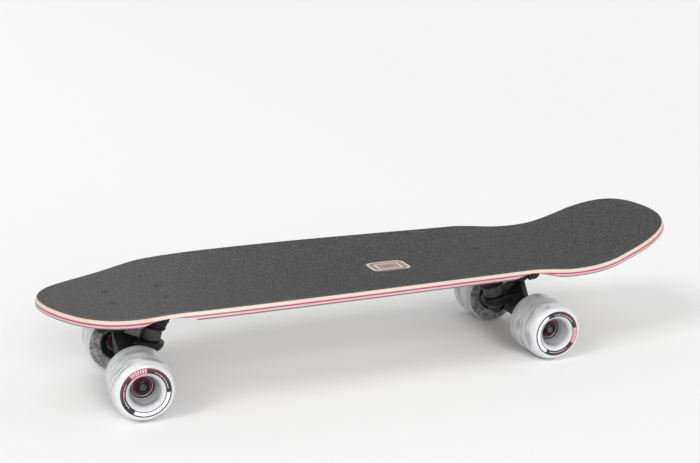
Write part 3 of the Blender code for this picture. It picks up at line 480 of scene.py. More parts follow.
@dataclass(frozen=True, kw_only=True)
class WindowPrint(Finish):
    """A plain framed panel printed in the grip tape's window, edged with painted shadow where the tape's
    cut edge shades it.
    """

    name: str = "window_print"
    centre: Corner
    half_length: float
    half_width: float
    corner: float = 0.0115
    # Painted shadow of the grip tape's cut edge, round the panel's rim
    border: Colour = srgb(92, 88, 84)
    pale: Colour = srgb(226, 213, 207)
    taupe: Colour = srgb(98, 78, 70)
    rose: Colour = srgb(156, 130, 120)
    reach: float = 0.0200
    starts: tuple[float, ...] = (0.09, 0.21, 0.29, 0.40, 0.47, 0.58, 0.68, 0.84)
    blur: float = 0.01
    stretch: Corner = (0.05, 1.0, 1.0)
    wear: Cloud = Cloud(900.0, 4.0)
    wear_most: float = 0.2

    def stops(self) -> list[Stop]:
        """Lists the frames from the panel's edge to its middle; the first is painted shadow.

        Returns:
            Positions and colours.
        """
        stops = [(0.0, self.border)]
        for start, colour in zip(self.starts, 2 * (self.pale, self.taupe, self.rose, self.taupe)):
            stops += [(start - self.blur, stops[-1][1]), (start, colour)]
        return stops

    def paint(self, graph: Graph) -> dict:
        """Paints nested rounded frames, by how far a place lies inside the panel's edge.

        Args:
            graph: The material's nodes.

        Returns:
            The shader's inputs by name.
        """
        x, y, _ = graph.split(graph.place(self.centre))
        across = graph.math("SUBTRACT", graph.math("ABSOLUTE", x), self.half_length - self.corner)
        down = graph.math("SUBTRACT", graph.math("ABSOLUTE", y), self.half_width - self.corner)
        outside = graph.radius(graph.math("MAXIMUM", across, 0.0), graph.math("MAXIMUM", down, 0.0))
        inside = graph.math("MINIMUM", graph.math("MAXIMUM", across, down), 0.0)
        depth = graph.math("SUBTRACT", self.corner, graph.math("ADD", outside, inside))
        frames = graph.bands(graph.math("DIVIDE", depth, self.reach), self.stops())
        wear = graph.noise(graph.place(stretch=self.stretch), self.wear)
        worn = graph.math("MULTIPLY", wear, self.wear_most)
        return {"Base Color": graph.mix(worn, frames, self.pale), "Roughness": 0.45}


@dataclass(frozen=True)
class Coat(Finish):
    """An even surface, worn in faint clouds. Its own values are those of a painted casting."""

    name: str = "satin_black_casting"
    colour: Colour = (0.0045, 0.0045, 0.0050)
    worn: Colour = (0.0100, 0.0100, 0.0105)
    roughness: float = 0.46
    metallic: float = 0.0
    specular: float = 0.26
    cloud: Cloud = Cloud(140.0, 3.0)
    worn_span: Span = (0.40, 0.72)
    uneven: float = 0.16
    skin: Cloud = Cloud(900.0)
    skin_depth: float = 0.00005

    def paint(self, graph: Graph) -> dict:
        """Paints a slightly uneven coat, with a fine skin where it has one.

        Args:
            graph: The material's nodes.

        Returns:
            The shader's inputs by name.
        """
        where = graph.place()
        cloud = graph.noise(where, self.cloud)
        worn = graph.step(cloud, *self.worn_span)
        inputs = {
            "Base Color": graph.mix(worn, self.colour, self.worn),
            "Roughness": self.roughness,
            "Metallic": self.metallic,
            "Specular IOR Level": self.specular,
        }
        if self.uneven:
            smoothest = self.roughness - self.uneven / 2
            inputs["Roughness"] = graph.math("MULTIPLY_ADD", cloud, self.uneven, smoothest)
        if self.skin_depth:
            inputs["Normal"] = graph.bump(graph.noise(where, self.skin), self.skin_depth)
        return inputs


@dataclass(frozen=True)
class Moulded(Coat):
    """Moulded rubber, urethane or nylon in one colour, with a faint bloom."""

    name: str = "dark_urethane"
    colour: Colour = (0.024, 0.025, 0.026)
    worn: Colour = (0.042, 0.043, 0.045)
    roughness: float = 0.42
    specular: float = 0.5
    cloud: Cloud = Cloud(190.0, 4.0)
    worn_span: Span = (0.35, 0.75)
    uneven: float = 0.0
    skin: Cloud = Cloud(1500.0)
    skin_depth: float = 0.00003


@dataclass(frozen=True)
class Ink(Coat):
    """Pad-printed ink with slightly uneven cover."""

    name: str = "charcoal_ink"
    colour: Colour = srgb(32, 31, 33)
    worn: Colour = srgb(54, 52, 54)
    roughness: float = 0.36
    specular: float = 0.5
    cloud: Cloud = Cloud(1100.0, 4.0)
    worn_span: Span = (0.45, 0.80)
    uneven: float = 0.0
    skin_depth: float = 0.0


@dataclass(frozen=True)
class TurnedMetal(Finish):
    """Metal with fine rings round an axle, as a lathe or a press leaves them."""

    centre: Corner
    colour: Colour = (0.62, 0.62, 0.64)
    shade: Colour = (0.34, 0.34, 0.36)
    roughness: float = 0.28
    metallic: float = 1.0
    rings: float = 2600.0
    ring_depth: float = 0.00002
    smudge: Cloud = Cloud(420.0, 3.0)
    shade_share: float = 0.4
    dulled: float = 0.2

    def paint(self, graph: Graph) -> dict:
        """Paints rings by the distance from the axle.

        Args:
            graph: The material's nodes.

        Returns:
            The shader's inputs by name.
        """
        x, _, z = graph.split(graph.place(self.centre))
        wave = graph.math("SINE", graph.math("MULTIPLY", graph.radius(x, z), self.rings * TURN))
        ring = graph.math("MULTIPLY_ADD", wave, 0.5, 0.5)
        smudge = graph.noise(graph.place(), self.smudge)
        share = graph.math("MULTIPLY", graph.math("ADD", ring, smudge), self.shade_share)
        return {
            "Base Color": graph.mix(share, self.colour, self.shade),
            "Roughness": graph.math("MULTIPLY_ADD", smudge, self.dulled, self.roughness),
            "Metallic": self.metallic,
            "Normal": graph.bump(ring, self.ring_depth),
        }


@dataclass(frozen=True)
class MilkyUrethane(Finish):
    """Cloudy cast urethane: milky white with smoke poured through it, marbled on the inner face, with
    painted shade and a painted highlight.
    """

    centre: Corner
    milk: Colour = srgb(213, 214, 216)
    haze: Colour = srgb(181, 183, 185)
    smoke: Colour = srgb(118, 120, 122)
    # Painted shade: the dark tone of the inner face's marble, over its real marbling
    murk: Colour = srgb(84, 86, 87)
    vein: Colour = srgb(158, 159, 161)
    # Painted shade in the hollow, partly the dark core showing through
    deep: Colour = srgb(112, 114, 115)
    inner_from: float = 0.0503
    inner_to: float = 0.0512
    # Where the painted highlight on the inboard rounding begins
    glow_to: float = 0.0530
    # Painted shade: a darker band by the inboard tread edge ends here
    smoky_to: float = 0.0640
    bright_from: float = 0.0935
    bright_to: float = 0.1005
    hollow_from: float = 0.0192
    hollow_to: float = 0.0140
    stretch: Corner = (0.27, 1.0, 0.27)
    streak: Cloud = Cloud(98.0, 2.0, 1.7, 0.40)
    wisp: Cloud = Cloud(150.0, 3.0, 1.2)
    marble: Cloud = Cloud(170.0, 4.0, 1.3, 0.60)
    hazy_span: Span = (0.42, 0.58)
    dark_span: Span = (0.56, 0.70)
    wisp_span: Span = (0.50, 0.74)
    vein_span: Span = (0.40, 0.60)
    cover: float = 0.95
    bright_cover: float = 0.20
    dark_most: float = 0.62
    wisp_most: float = 0.45
    # How deep the painted shade by the inboard edge goes
    smoky_most: float = 0.42
    inner_most: float = 0.9
    hollow_most: float = 0.42
    marble_depth: float = 0.00004

    def paint(self, graph: Graph) -> dict:
        """Paints tread streaks, a marbled inner face darkened by painted shade, painted shade by the
        inboard edge and in the hollow, where the dark core partly shows through, and a painted highlight on
        the inboard rounding.

        Args:
            graph: The material's nodes.

        Returns:
            The shader's inputs by name.
        """
        x, side, z = graph.split(graph.place(self.centre))
        out = graph.math("ABSOLUTE", side)
        drawn = graph.place(stretch=self.stretch)
        streak, wisp = graph.noise(drawn, self.streak), graph.noise(drawn, self.wisp)
        marble = graph.noise(graph.place(), self.marble)
        bright = graph.step(out, self.bright_from, self.bright_to)
        cover = graph.math("MULTIPLY_ADD", bright, self.bright_cover - self.cover, self.cover)
        soft = graph.step(wisp, *self.wisp_span, graph.math("MULTIPLY", cover, self.wisp_most))
        dark = graph.step(streak, *self.dark_span, graph.math("MULTIPLY", cover, self.dark_most))
        shaded_marble = graph.mix(graph.step(marble, *self.vein_span), self.murk, self.vein)
        radius = graph.radius(x, z)
        colour = self.milk
        for share, tone in (
            (graph.step(streak, *self.hazy_span, cover), self.haze),
            (soft, self.haze),
            (dark, self.smoke),
            # Painted shade by the inboard edge, then a painted highlight on the rounding
            (graph.step(out, self.smoky_to, self.glow_to, self.smoky_most), self.haze),
            (graph.step(out, self.glow_to, self.inner_to), self.milk),
            # Marbled inner face, darkened as painted shade
            (graph.step(out, self.inner_to, self.inner_from, self.inner_most), shaded_marble),
            # Painted shade in the hollow by the core
            (graph.step(radius, self.hollow_from, self.hollow_to, self.hollow_most), self.deep),
        ):
            colour = graph.mix(share, colour, tone)
        return {
            "Base Color": colour,
            "Roughness": 0.30,
            "Subsurface Weight": 0.2,
            "Subsurface Radius": (1.0, 1.0, 1.0),
            "Subsurface Scale": 0.002,
            "Normal": graph.bump(marble, self.marble_depth),
        }


MAPLE = PressedMaple()
GRIT = Grit()
CASTING = Coat()
BLACK_STEEL = Coat("black_oxide_steel", (0.020, 0.020, 0.021), (0.042, 0.042, 0.044), 0.34, 0.7)
DULL_BLACK = Coat("dull_black_screws", (0.060, 0.060, 0.061), (0.085, 0.085, 0.087), 0.55, 0.2)
AXLE_STEEL = Coat("axle_steel", (0.064, 0.068, 0.066), (0.092, 0.097, 0.094), 0.42, 0.3)
BUSHING = Moulded()
RISER = Moulded("riser_rubber", (0.014, 0.014, 0.015), (0.026, 0.026, 0.027), 0.62)
NYLON = Moulded("black_nylon", (0.020, 0.021, 0.021), (0.034, 0.035, 0.035), 0.30)
COLLAR = Moulded("nut_collar", (0.038, 0.040, 0.039), (0.056, 0.059, 0.058), 0.45)
SEAL_RED = Moulded("dark_red_seal", srgb(72, 15, 25), srgb(90, 25, 36), 0.45)
CHARCOAL_INK = Ink()
RED_INK = Ink("dark_red_ink", srgb(104, 26, 48), srgb(124, 52, 70))
PINK_INK = Ink("pink_ink", srgb(180, 86, 106), srgb(194, 122, 136))
WHITE_INK = Ink("white_ink", srgb(240, 240, 241), srgb(228, 229, 231))
FAINT_INK = Ink("faint_grey_ink", srgb(150, 148, 150), srgb(186, 185, 187))


# Mesh tools


def placed_object(name: str, data: bpy.types.ID, matrix: Matrix = HERE) -> bpy.types.Object:
    """Puts an object in the scene.

    Args:
        name: Its name.
        data: Its mesh, lamp or camera.
        matrix: Its place.

    Returns:
        The new object.
    """
    obj = bpy.data.objects.new(name, data)
    bpy.context.scene.collection.objects.link(obj)
    obj.matrix_world = matrix
    return obj


def mesh_from(bm: bmesh.types.BMesh) -> Mesh:
    """Turns a bmesh into a mesh with its faces pointing out.

    Args:
        bm: The bmesh, which is freed.

    Returns:
        The mesh.
    """
    bmesh.ops.recalc_face_normals(bm, faces=bm.faces)
    mesh = bpy.data.meshes.new("solid")
    bm.to_mesh(mesh)
    bm.free()
    return mesh


def shaded(mesh: Mesh) -> Mesh:
    """Shades a mesh smooth up to its sharp edges.

    Args:
        mesh: The mesh.

    Returns:
        The same mesh.
    """
    mesh.shade_smooth()
    mesh.set_sharp_from_angle(angle=SHARP_ANGLE)
    return mesh


def baked(obj: bpy.types.Object, helpers: Iterable[bpy.types.Object] = ()) -> Mesh:
    """Applies an object's modifiers and removes it.

    Args:
        obj: The object.
        helpers: Objects that its modifiers use, which are removed too.

    Returns:
        The finished mesh, with its faces pointing out.
    """
    bpy.context.view_layer.update()
    graph = bpy.context.evaluated_depsgraph_get()
    mesh = bpy.data.meshes.new_from_object(obj.evaluated_get(graph))
    for used in (obj, *helpers):
        bpy.data.objects.remove(used, do_unlink=True)
    bm = bmesh.new()
    bm.from_mesh(mesh)
    bmesh.ops.recalc_face_normals(bm, faces=bm.faces)
    bm.to_mesh(mesh)
    bm.free()
    return shaded(mesh)


def combined(
    base: Mesh,
    steps: Sequence[tuple[str, Mesh, Matrix]],
    voxel: float = 0.0,
    smoothing: int = 0,
) -> Mesh:
    """Joins and cuts solids, and if asked blends their edges as a casting's are.

    Args:
        base: The first solid.
        steps: The operation, mesh and place of each further one.
        voxel: The size of the cells that the blended surface is rebuilt from, or 0.
        smoothing: How often the rebuilt surface is smoothed.

    Returns:
        The finished mesh.
    """
    obj = placed_object(base.name, base)
    helpers = []
    for operation, mesh, matrix in steps:
        helper = placed_object(mesh.name, mesh, matrix)
        helper.hide_render = True
        helpers.append(helper)
        cut = obj.modifiers.new(operation, "BOOLEAN")
        cut.operation = operation
        cut.object = helper
        cut.solver = "EXACT"
    if voxel:
        remesh = obj.modifiers.new("rebuild", "REMESH")
        remesh.mode = "VOXEL"
        remesh.voxel_size = voxel
        smooth = obj.modifiers.new("blend", "SMOOTH")
        smooth.factor = 0.5
        smooth.iterations = smoothing
    return baked(obj, helpers)


def dressed(mesh: Mesh, finish: Finish) -> Mesh:
    """Gives a whole mesh one finish.

    Args:
        mesh: The mesh.
        finish: The finish.

    Returns:
        The same mesh.
    """
    mesh.materials.clear()
    mesh.materials.append(material_of(finish))
    mesh.polygons.foreach_set("material_index", [0] * len(mesh.polygons))
    return mesh


def assembled(parts: Iterable[Part]) -> Mesh:
    """Gathers placed meshes in one and keeps their finishes.

    Args:
        parts: The meshes and their places.

    Returns:
        The mesh that holds them all.
    """
    bm = bmesh.new()
    finishes = []
    for mesh, matrix in parts:
        first_vert, first_face = len(bm.verts), len(bm.faces)
        bm.from_mesh(mesh)
        bm.verts.ensure_lookup_table()
        bm.faces.ensure_lookup_table()
        bmesh.ops.transform(bm, matrix=matrix, verts=bm.verts[first_vert:])
        for face in bm.faces[first_face:]:
            material = mesh.materials[face.material_index]
            if material not in finishes:
                finishes.append(material)
            face.material_index = finishes.index(material)
    mesh = bpy.data.meshes.new("assembly")
    bm.to_mesh(mesh)
    bm.free()
    for material in finishes:
        mesh.materials.append(material)
    return mesh


def filleted(corners: Sequence[Corner], closed: bool = False, steps: int = 4) -> list[Point]:
    """Rounds the corners of a profile.

    Args:
        corners: Radius, height and corner rounding of each corner.
        closed: Whether the last corner joins the first.
        steps: Segments in each rounding.

    Returns:
        The (radius, height) points of the rounded profile.
    """
    points: list[Point] = []
    count = len(corners)
    for i, (radius, height, rounding) in enumerate(corners):
        here = Vector((radius, height))
        at_end = not closed and i in (0, count - 1)
        if rounding <= 0 or at_end:
            points.append((radius, height))
            continue
        before = Vector(corners[i - 1][:2]) - here
        after = Vector(corners[(i + 1) % count][:2]) - here
        half = max(before.angle(after) / 2, 0.01)
        reach = min(rounding / math.tan(half), 0.48 * before.length, 0.48 * after.length)
        start = here + reach * before.normalized()
        end = here + reach * after.normalized()
        for step in range(steps + 1):
            share = step / steps
            spot = (1 - share) ** 2 * start + 2 * share * (1 - share) * here + share**2 * end
            points.append((spot.x, spot.y))
    return points


def quarter(start: Point, end: Point, steps: int) -> list[Point]:
    """Points of an elliptic quarter turn.

    Args:
        start: Where it leaves, level.
        end: Where it arrives, upright.
        steps: Its segments.

    Returns:
        The points, with both ends.
    """
    angles = [math.pi / 2 * i / steps for i in range(steps + 1)]
    return [
        (
            start[0] + (end[0] - start[0]) * math.sin(angle),
            end[1] + (start[1] - end[1]) * math.cos(angle),
        )
        for angle in angles
    ]


def hull(points: Iterable[Vector]) -> Mesh:
    """The convex solid around some points.

    Args:
        points: The points.

    Returns:
        The solid.
    """
    bm = bmesh.new()
    for point in points:
        bm.verts.new(point)
    found = bmesh.ops.convex_hull(bm, input=bm.verts)
    inside = {item for item in found["geom_interior"] if isinstance(item, bmesh.types.BMVert)}
    bmesh.ops.delete(bm, geom=list(inside), context="VERTS")
    bmesh.ops.dissolve_limit(bm, angle_limit=math.radians(0.5), verts=bm.verts, edges=bm.edges)
    return mesh_from(bm)


def prism(radius: float, low: float, high: float, sides: int = 6) -> Mesh:
    """An upright prism about Z, for a hexagon or a bore.

    Args:
        radius: Its corner radius.
        low: Its lower height.
        high: Its upper height.
        sides: How many sides it has.

    Returns:
        The prism.
    """
    bm = bmesh.new()
    lift = Matrix.Translation((0, 0, (low + high) / 2))
    sizes = {"radius1": radius, "radius2": radius, "depth": high - low}
    bmesh.ops.create_cone(bm, cap_ends=True, segments=sides, matrix=lift, **sizes)
    return mesh_from(bm)


def slab(low: Sequence[float], high: Sequence[float], corner: float, edge: float = 0.0) -> Mesh:
    """A block with its upright edges rounded, and if asked the rims of its faces too.

    Args:
        low: Its lowest corner.
        high: Its highest corner.
        corner: Rounding of the upright edges.
        edge: Rounding of the other edges.

    Returns:
        The block.
    """
    low, high = Vector(low), Vector(high)
    bm = bmesh.new()
    place = Matrix.Translation((low + high) / 2) @ Matrix.Diagonal((*(high - low), 1))
    bmesh.ops.create_cube(bm, size=1, matrix=place)
    upright = [e for e in bm.edges if e.verts[0].co.xy == e.verts[1].co.xy]
    bmesh.ops.bevel(bm, geom=upright, offset=corner, segments=10, profile=0.5, affect="EDGES")
    if edge:
        rims = [e for e in bm.edges if abs(e.verts[0].co.z - e.verts[1].co.z) < WELD]
        bmesh.ops.bevel(bm, geom=rims, offset=edge, segments=3, profile=0.5, affect="EDGES")
    return mesh_from(bm)


def circles(centre: Vector, axis: Vector, stations: Iterable[Point], steps: int = 48) -> list[Vector]:
    """Points of circles along an axis.

    Args:
        centre: The point where stations start.
        axis: The axis.
        stations: The station and radius of each circle.
        steps: How many points a circle has.

    Returns:
        The points.
    """
    across = axis.orthogonal().normalized()
    up = axis.cross(across)
    angles = [TURN * i / steps for i in range(steps)]
    spokes = [math.cos(a) * across + math.sin(a) * up for a in angles]
    return [centre + station * axis + radius * spoke for station, radius in stations for spoke in spokes]


def leaning(origin: Vector, tilt: float) -> Matrix:
    """The place of a shape about Z on an axis that leans from upright towards +X."""
    return Matrix.Translation(origin) @ Matrix.Rotation(tilt, 4, "Y")


def tube(low: float, high: float, outer: Span, inner: Span) -> list[Corner]:
    """The corners of a plain ring's profile. Each side has a radius and a rounding."""
    heights = ((outer, high), (outer, low), (inner, low), (inner, high))
    return [(radius, height, rounding) for (radius, rounding), height in heights]


# Shapes from geometry nodes


class ShapeTree:
    """A geometry node tree with named inputs. Baking it gives a plain mesh."""

    title = ""
    wholes: tuple[str, ...] = ()
    numbers: tuple[str, ...] = ()

    def __init__(self) -> None:
        """Builds the tree, from its inputs to the finish at its end."""
        self.tree = bpy.data.node_groups.new(self.title, "GeometryNodeTree")
        face = self.tree.interface
        face.new_socket("Geometry", in_out="OUTPUT", socket_type="NodeSocketGeometry")
        kinds = {"Geometry": "NodeSocketGeometry"}
        kinds |= dict.fromkeys(self.wholes, "NodeSocketInt")
        kinds |= dict.fromkeys(self.numbers, "NodeSocketFloat")
        kinds["Finish"] = "NodeSocketMaterial"
        self.ids = {
            name: face.new_socket(name, in_out="INPUT", socket_type=kind).identifier
            for name, kind in kinds.items()
        }
        graph = Graph(self.tree)
        given = graph.add("NodeGroupInput").outputs
        real = graph.form("RealizeInstances", {"Geometry": self.shape(graph, given)})
        inputs = {"Geometry": real, "Material": given["Finish"]}
        graph.add("NodeGroupOutput", {0: graph.form("SetMaterial", inputs)})

    def shape(self, graph: Graph, given: Mapping[str, Socket]) -> Socket:
        """Adds the tree's own nodes, and gives the socket with their geometry."""
        raise NotImplementedError

    def bake(self, mesh: Mesh, finish: Finish, **sizes: float) -> Mesh:
        """Runs the tree on a mesh.

        Args:
            mesh: The mesh that the tree starts from.
            finish: The finish of the result.
            **sizes: The tree's inputs by name.

        Returns:
            The plain mesh that it makes.
        """
        obj = placed_object(mesh.name, mesh)
        modifier = obj.modifiers.new(self.title, "NODES")
        modifier.node_group = self.tree
        for name, value in (*sizes.items(), ("Finish", material_of(finish))):
            modifier[self.ids[name]] = value
        return baked(obj)


def outline_mesh(points: Sequence[Point], closed: bool) -> Mesh:
    """A profile as a wire mesh, placed as the sweeping trees read it.

    Args:
        points: (radius, height) points that run down the outer side.
        closed: Whether the last point joins the first.

    Returns:
        The wire mesh.
    """
    edges = [(i, i + 1) for i in range(len(points) - 1)]
    if closed:
        edges.append((len(points) - 1, 0))
    mesh = bpy.data.meshes.new("outline")
    mesh.from_pydata([(radius - SWING, -height, 0) for radius, height in points], edges, [])
    return mesh


class Lathe(ShapeTree):
    """Sweeps a profile once round Z."""

    title = "lathe"
    wholes = ("Segments",)
    numbers = ("Swing",)

    def shape(self, graph: Graph, given: Mapping[str, Socket]) -> Socket:
        """Adds the sweep along a full circle.

        Args:
            graph: The tree's nodes.
            given: The tree's inputs by name.

        Returns:
            The turned surface.
        """
        profile = graph.form("MeshToCurve", {"Mesh": given["Geometry"]})
        inputs = {"Resolution": given["Segments"], "Radius": given["Swing"]}
        path = graph.form("CurvePrimitiveCircle", inputs)
        swept = graph.form("CurveToMesh", {"Curve": path, "Profile Curve": profile})
        return graph.form("MergeByDistance", {"Geometry": swept, "Distance": WELD})


class ArcSweep(ShapeTree):
    """Sweeps a closed profile part of the way round Z and closes its ends."""

    title = "arc_sweep"
    wholes = ("Segments",)
    numbers = ("Swing", "Start", "Sweep")

    def shape(self, graph: Graph, given: Mapping[str, Socket]) -> Socket:
        """Adds the sweep along an arc.

        Args:
            graph: The tree's nodes.
            given: The tree's inputs by name.

        Returns:
            The swept surface.
        """
        profile = graph.form("MeshToCurve", {"Mesh": given["Geometry"]})
        inputs = {"Resolution": given["Segments"], "Radius": given["Swing"]}
        inputs |= {"Start Angle": given["Start"], "Sweep Angle": given["Sweep"]}
        path = graph.form("CurveArc", inputs)
        return graph.form("CurveToMesh", {"Curve": path, "Profile Curve": profile, "Fill Caps": True})


class RingOfPieces(ShapeTree):
    """Sets copies of a small piece along an arc about Z, each turned to face outward."""

    title = "ring_of_pieces"
    wholes = ("Count", "Seed")
    numbers = ("Radius", "Start", "Sweep")
    shortest = 0.45

    def shape(self, graph: Graph, given: Mapping[str, Socket]) -> Socket:
        """Adds the points on the arc, and a copy at each.

        Args:
            graph: The tree's nodes.
            given: The tree's inputs by name.

        Returns:
            The copies.
        """
        line = graph.form("MeshLine", {"Count": given["Count"]})
        share = graph.math("DIVIDE", graph.form("InputIndex"), given["Count"])
        angle = graph.math("MULTIPLY_ADD", share, given["Sweep"], given["Start"])
        x = graph.math("MULTIPLY", graph.math("COSINE", angle), given["Radius"])
        y = graph.math("MULTIPLY", graph.math("SINE", angle), given["Radius"])
        points = graph.form("SetPosition", {"Geometry": line, "Position": graph.vector(X=x, Y=y)})
        turn = graph.add("FunctionNodeEulerToRotation", {0: graph.vector(Z=angle)}).outputs[0]
        inputs = {"Seed": given["Seed"], 2: self.shortest, 3: 1.0}
        length = graph.add("FunctionNodeRandomValue", inputs, data_type="FLOAT").outputs[1]
        inputs = {"Points": points, "Instance": given["Geometry"], "Rotation": turn}
        return graph.form("InstanceOnPoints", inputs | {"Scale": graph.vector(X=1.0, Y=length, Z=1.0)})


class BoltPattern(ShapeTree):
    """Sets a fastener at the four corners of a rectangle."""

    title = "bolt_pattern"
    numbers = ("Length", "Width")

    def shape(self, graph: Graph, given: Mapping[str, Socket]) -> Socket:
        """Adds the corner points, and a fastener at each.

        Args:
            graph: The tree's nodes.
            given: The tree's inputs by name.

        Returns:
            The fasteners.
        """
        inputs = {"Size X": given["Length"], "Size Y": given["Width"], "Vertices X": 2, "Vertices Y": 2}
        corners = graph.form("MeshGrid", inputs)
        return graph.form("InstanceOnPoints", {"Points": corners, "Instance": given["Geometry"]})


class ScrewThread(ShapeTree):
    """A thread's ridge round Z, as a bar with three sides on a helix."""

    title = "screw_thread"
    numbers = ("Turns", "Radius", "Length", "Ridge")
    steps = 24
    sides = 3

    def shape(self, graph: Graph, given: Mapping[str, Socket]) -> Socket:
        """Adds the helix and the ridge along it.

        Args:
            graph: The tree's nodes.
            given: The tree's inputs by name.

        Returns:
            The ridge.
        """
        inputs = {"Resolution": self.steps, "Rotations": given["Turns"], "Height": given["Length"]}
        inputs |= {"Start Radius": given["Radius"], "End Radius": given["Radius"]}
        path = graph.form("CurveSpiral", inputs)
        bar = graph.form("CurvePrimitiveCircle", {"Resolution": self.sides, "Radius": given["Ridge"]})
        return graph.form("CurveToMesh", {"Curve": path, "Profile Curve": bar, "Fill Caps": True})


@functools.cache
def tree(kind: type[ShapeTree]) -> ShapeTree:
    """The one tree of a kind, built when it is first asked for."""
    return kind()


def turned(points: Sequence[Point], finish: Finish, closed: bool = False, segments: int = 64) -> Mesh:
    """Turns a profile of (radius, height) points round Z. It runs down the outer side."""
    wire = outline_mesh(points, closed)
    return tree(Lathe).bake(wire, finish, Segments=segments, Swing=SWING)


def set_piece(name: str, parts: Iterable[Part], body: str, slot: Slot, *nodes: str) -> bpy.types.Object:
    """Makes a finished piece and sets it in the frame.

    Args:
        name: The piece's name.
        parts: Its meshes and their places.
        body: The body that it moves with.
        slot: The record's material slot for its finish; not used.
        *nodes: The nodes that it stands for.

    Returns:
        The piece.
    """
    mesh = assembled(parts)
    mesh.name = name
    piece = placed_object(name, mesh)
    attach(piece, body)
    if nodes:
        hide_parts(*nodes)
    LOG.info("%s: %d faces on %s", name, len(piece.data.polygons), body)
    return piece


# Board


@dataclass(frozen=True)
class BoardLayout:
    """The board's main lines, with the axles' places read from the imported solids."""

    front_axle: Vector = field(default_factory=lambda: sum(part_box("axle_front"), Vector()) / 2)
    rear_axle: Vector = field(default_factory=lambda: sum(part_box("axle_rear"), Vector()) / 2)
    truck_height: float = 0.0560
    riser_thickness: float = 0.0030
    deck_thickness: float = 0.0086
    grip_rise: float = 0.0013
    axle_to_pattern: float = 0.01315
    pattern_length: float = 0.05398
    pattern_width: float = 0.0413

    @property
    def middle(self) -> float:
        """The middle of the wheelbase along X."""
        return (self.front_axle.x + self.rear_axle.x) / 2

    @property
    def half_base(self) -> float:
        """Half the wheelbase."""
        return (self.rear_axle.x - self.front_axle.x) / 2

    @property
    def deck_bottom(self) -> float:
        """Height of the deck's flat underside."""
        return self.front_axle.z + self.truck_height + self.riser_thickness + 2 * GAP

    @property
    def deck_top(self) -> float:
        """Height of the deck's flat top face."""
        return self.deck_bottom + self.deck_thickness

    @property
    def grip_top(self) -> float:
        """Height of the grip tape's flat top face."""
        return self.deck_top + self.grip_rise

    @property
    def outer_bolts(self) -> float:
        """How far the outer mounting bolts lie from the middle of the wheelbase."""
        return self.half_base - self.axle_to_pattern + self.pattern_length / 2

    @property
    def pattern(self) -> dict[str, float]:
        """The bolt pattern's sizes by name."""
        return {"Length": self.pattern_length, "Width": self.pattern_width}

    def axle(self, end: End) -> Vector:
        """The middle of a truck's axle."""
        return self.front_axle if end is End.FRONT else self.rear_axle

    def truck(self, end: End) -> Matrix:
        """The place of a truck's own frame."""
        turn = math.pi if end is End.REAR else 0.0
        return Matrix.Translation(self.axle(end)) @ Matrix.Rotation(turn, 4, "Z")

    def wheel(self, end: End, side: Side) -> Matrix:
        """The place of a wheel's own frame, with +Z outward and +X towards the tail."""
        return Matrix.Translation(self.axle(end)) @ Matrix.Rotation(-side.value * math.pi / 2, 4, "X")

    def bolts(self, end: End, height: float) -> Matrix:
        """The place of a truck's bolt pattern at a height in the frame."""
        return Matrix.Translation((self.axle(end).x - end.value * self.axle_to_pattern, 0, height))


@dataclass(frozen=True)
class Knot:
    """One knot of the deck's outline: half width, direction in degrees and handle lengths."""

    x: float
    half: float
    turn: float
    back: float
    ahead: float
    steps: int

    @property
    def spot(self) -> Vector:
        """Its place, as x and half width."""
        return Vector((self.x, self.half))

    @property
    def way(self) -> Vector:
        """The outline's direction there."""
        return Vector((math.cos(math.radians(self.turn)), math.sin(math.radians(self.turn))))


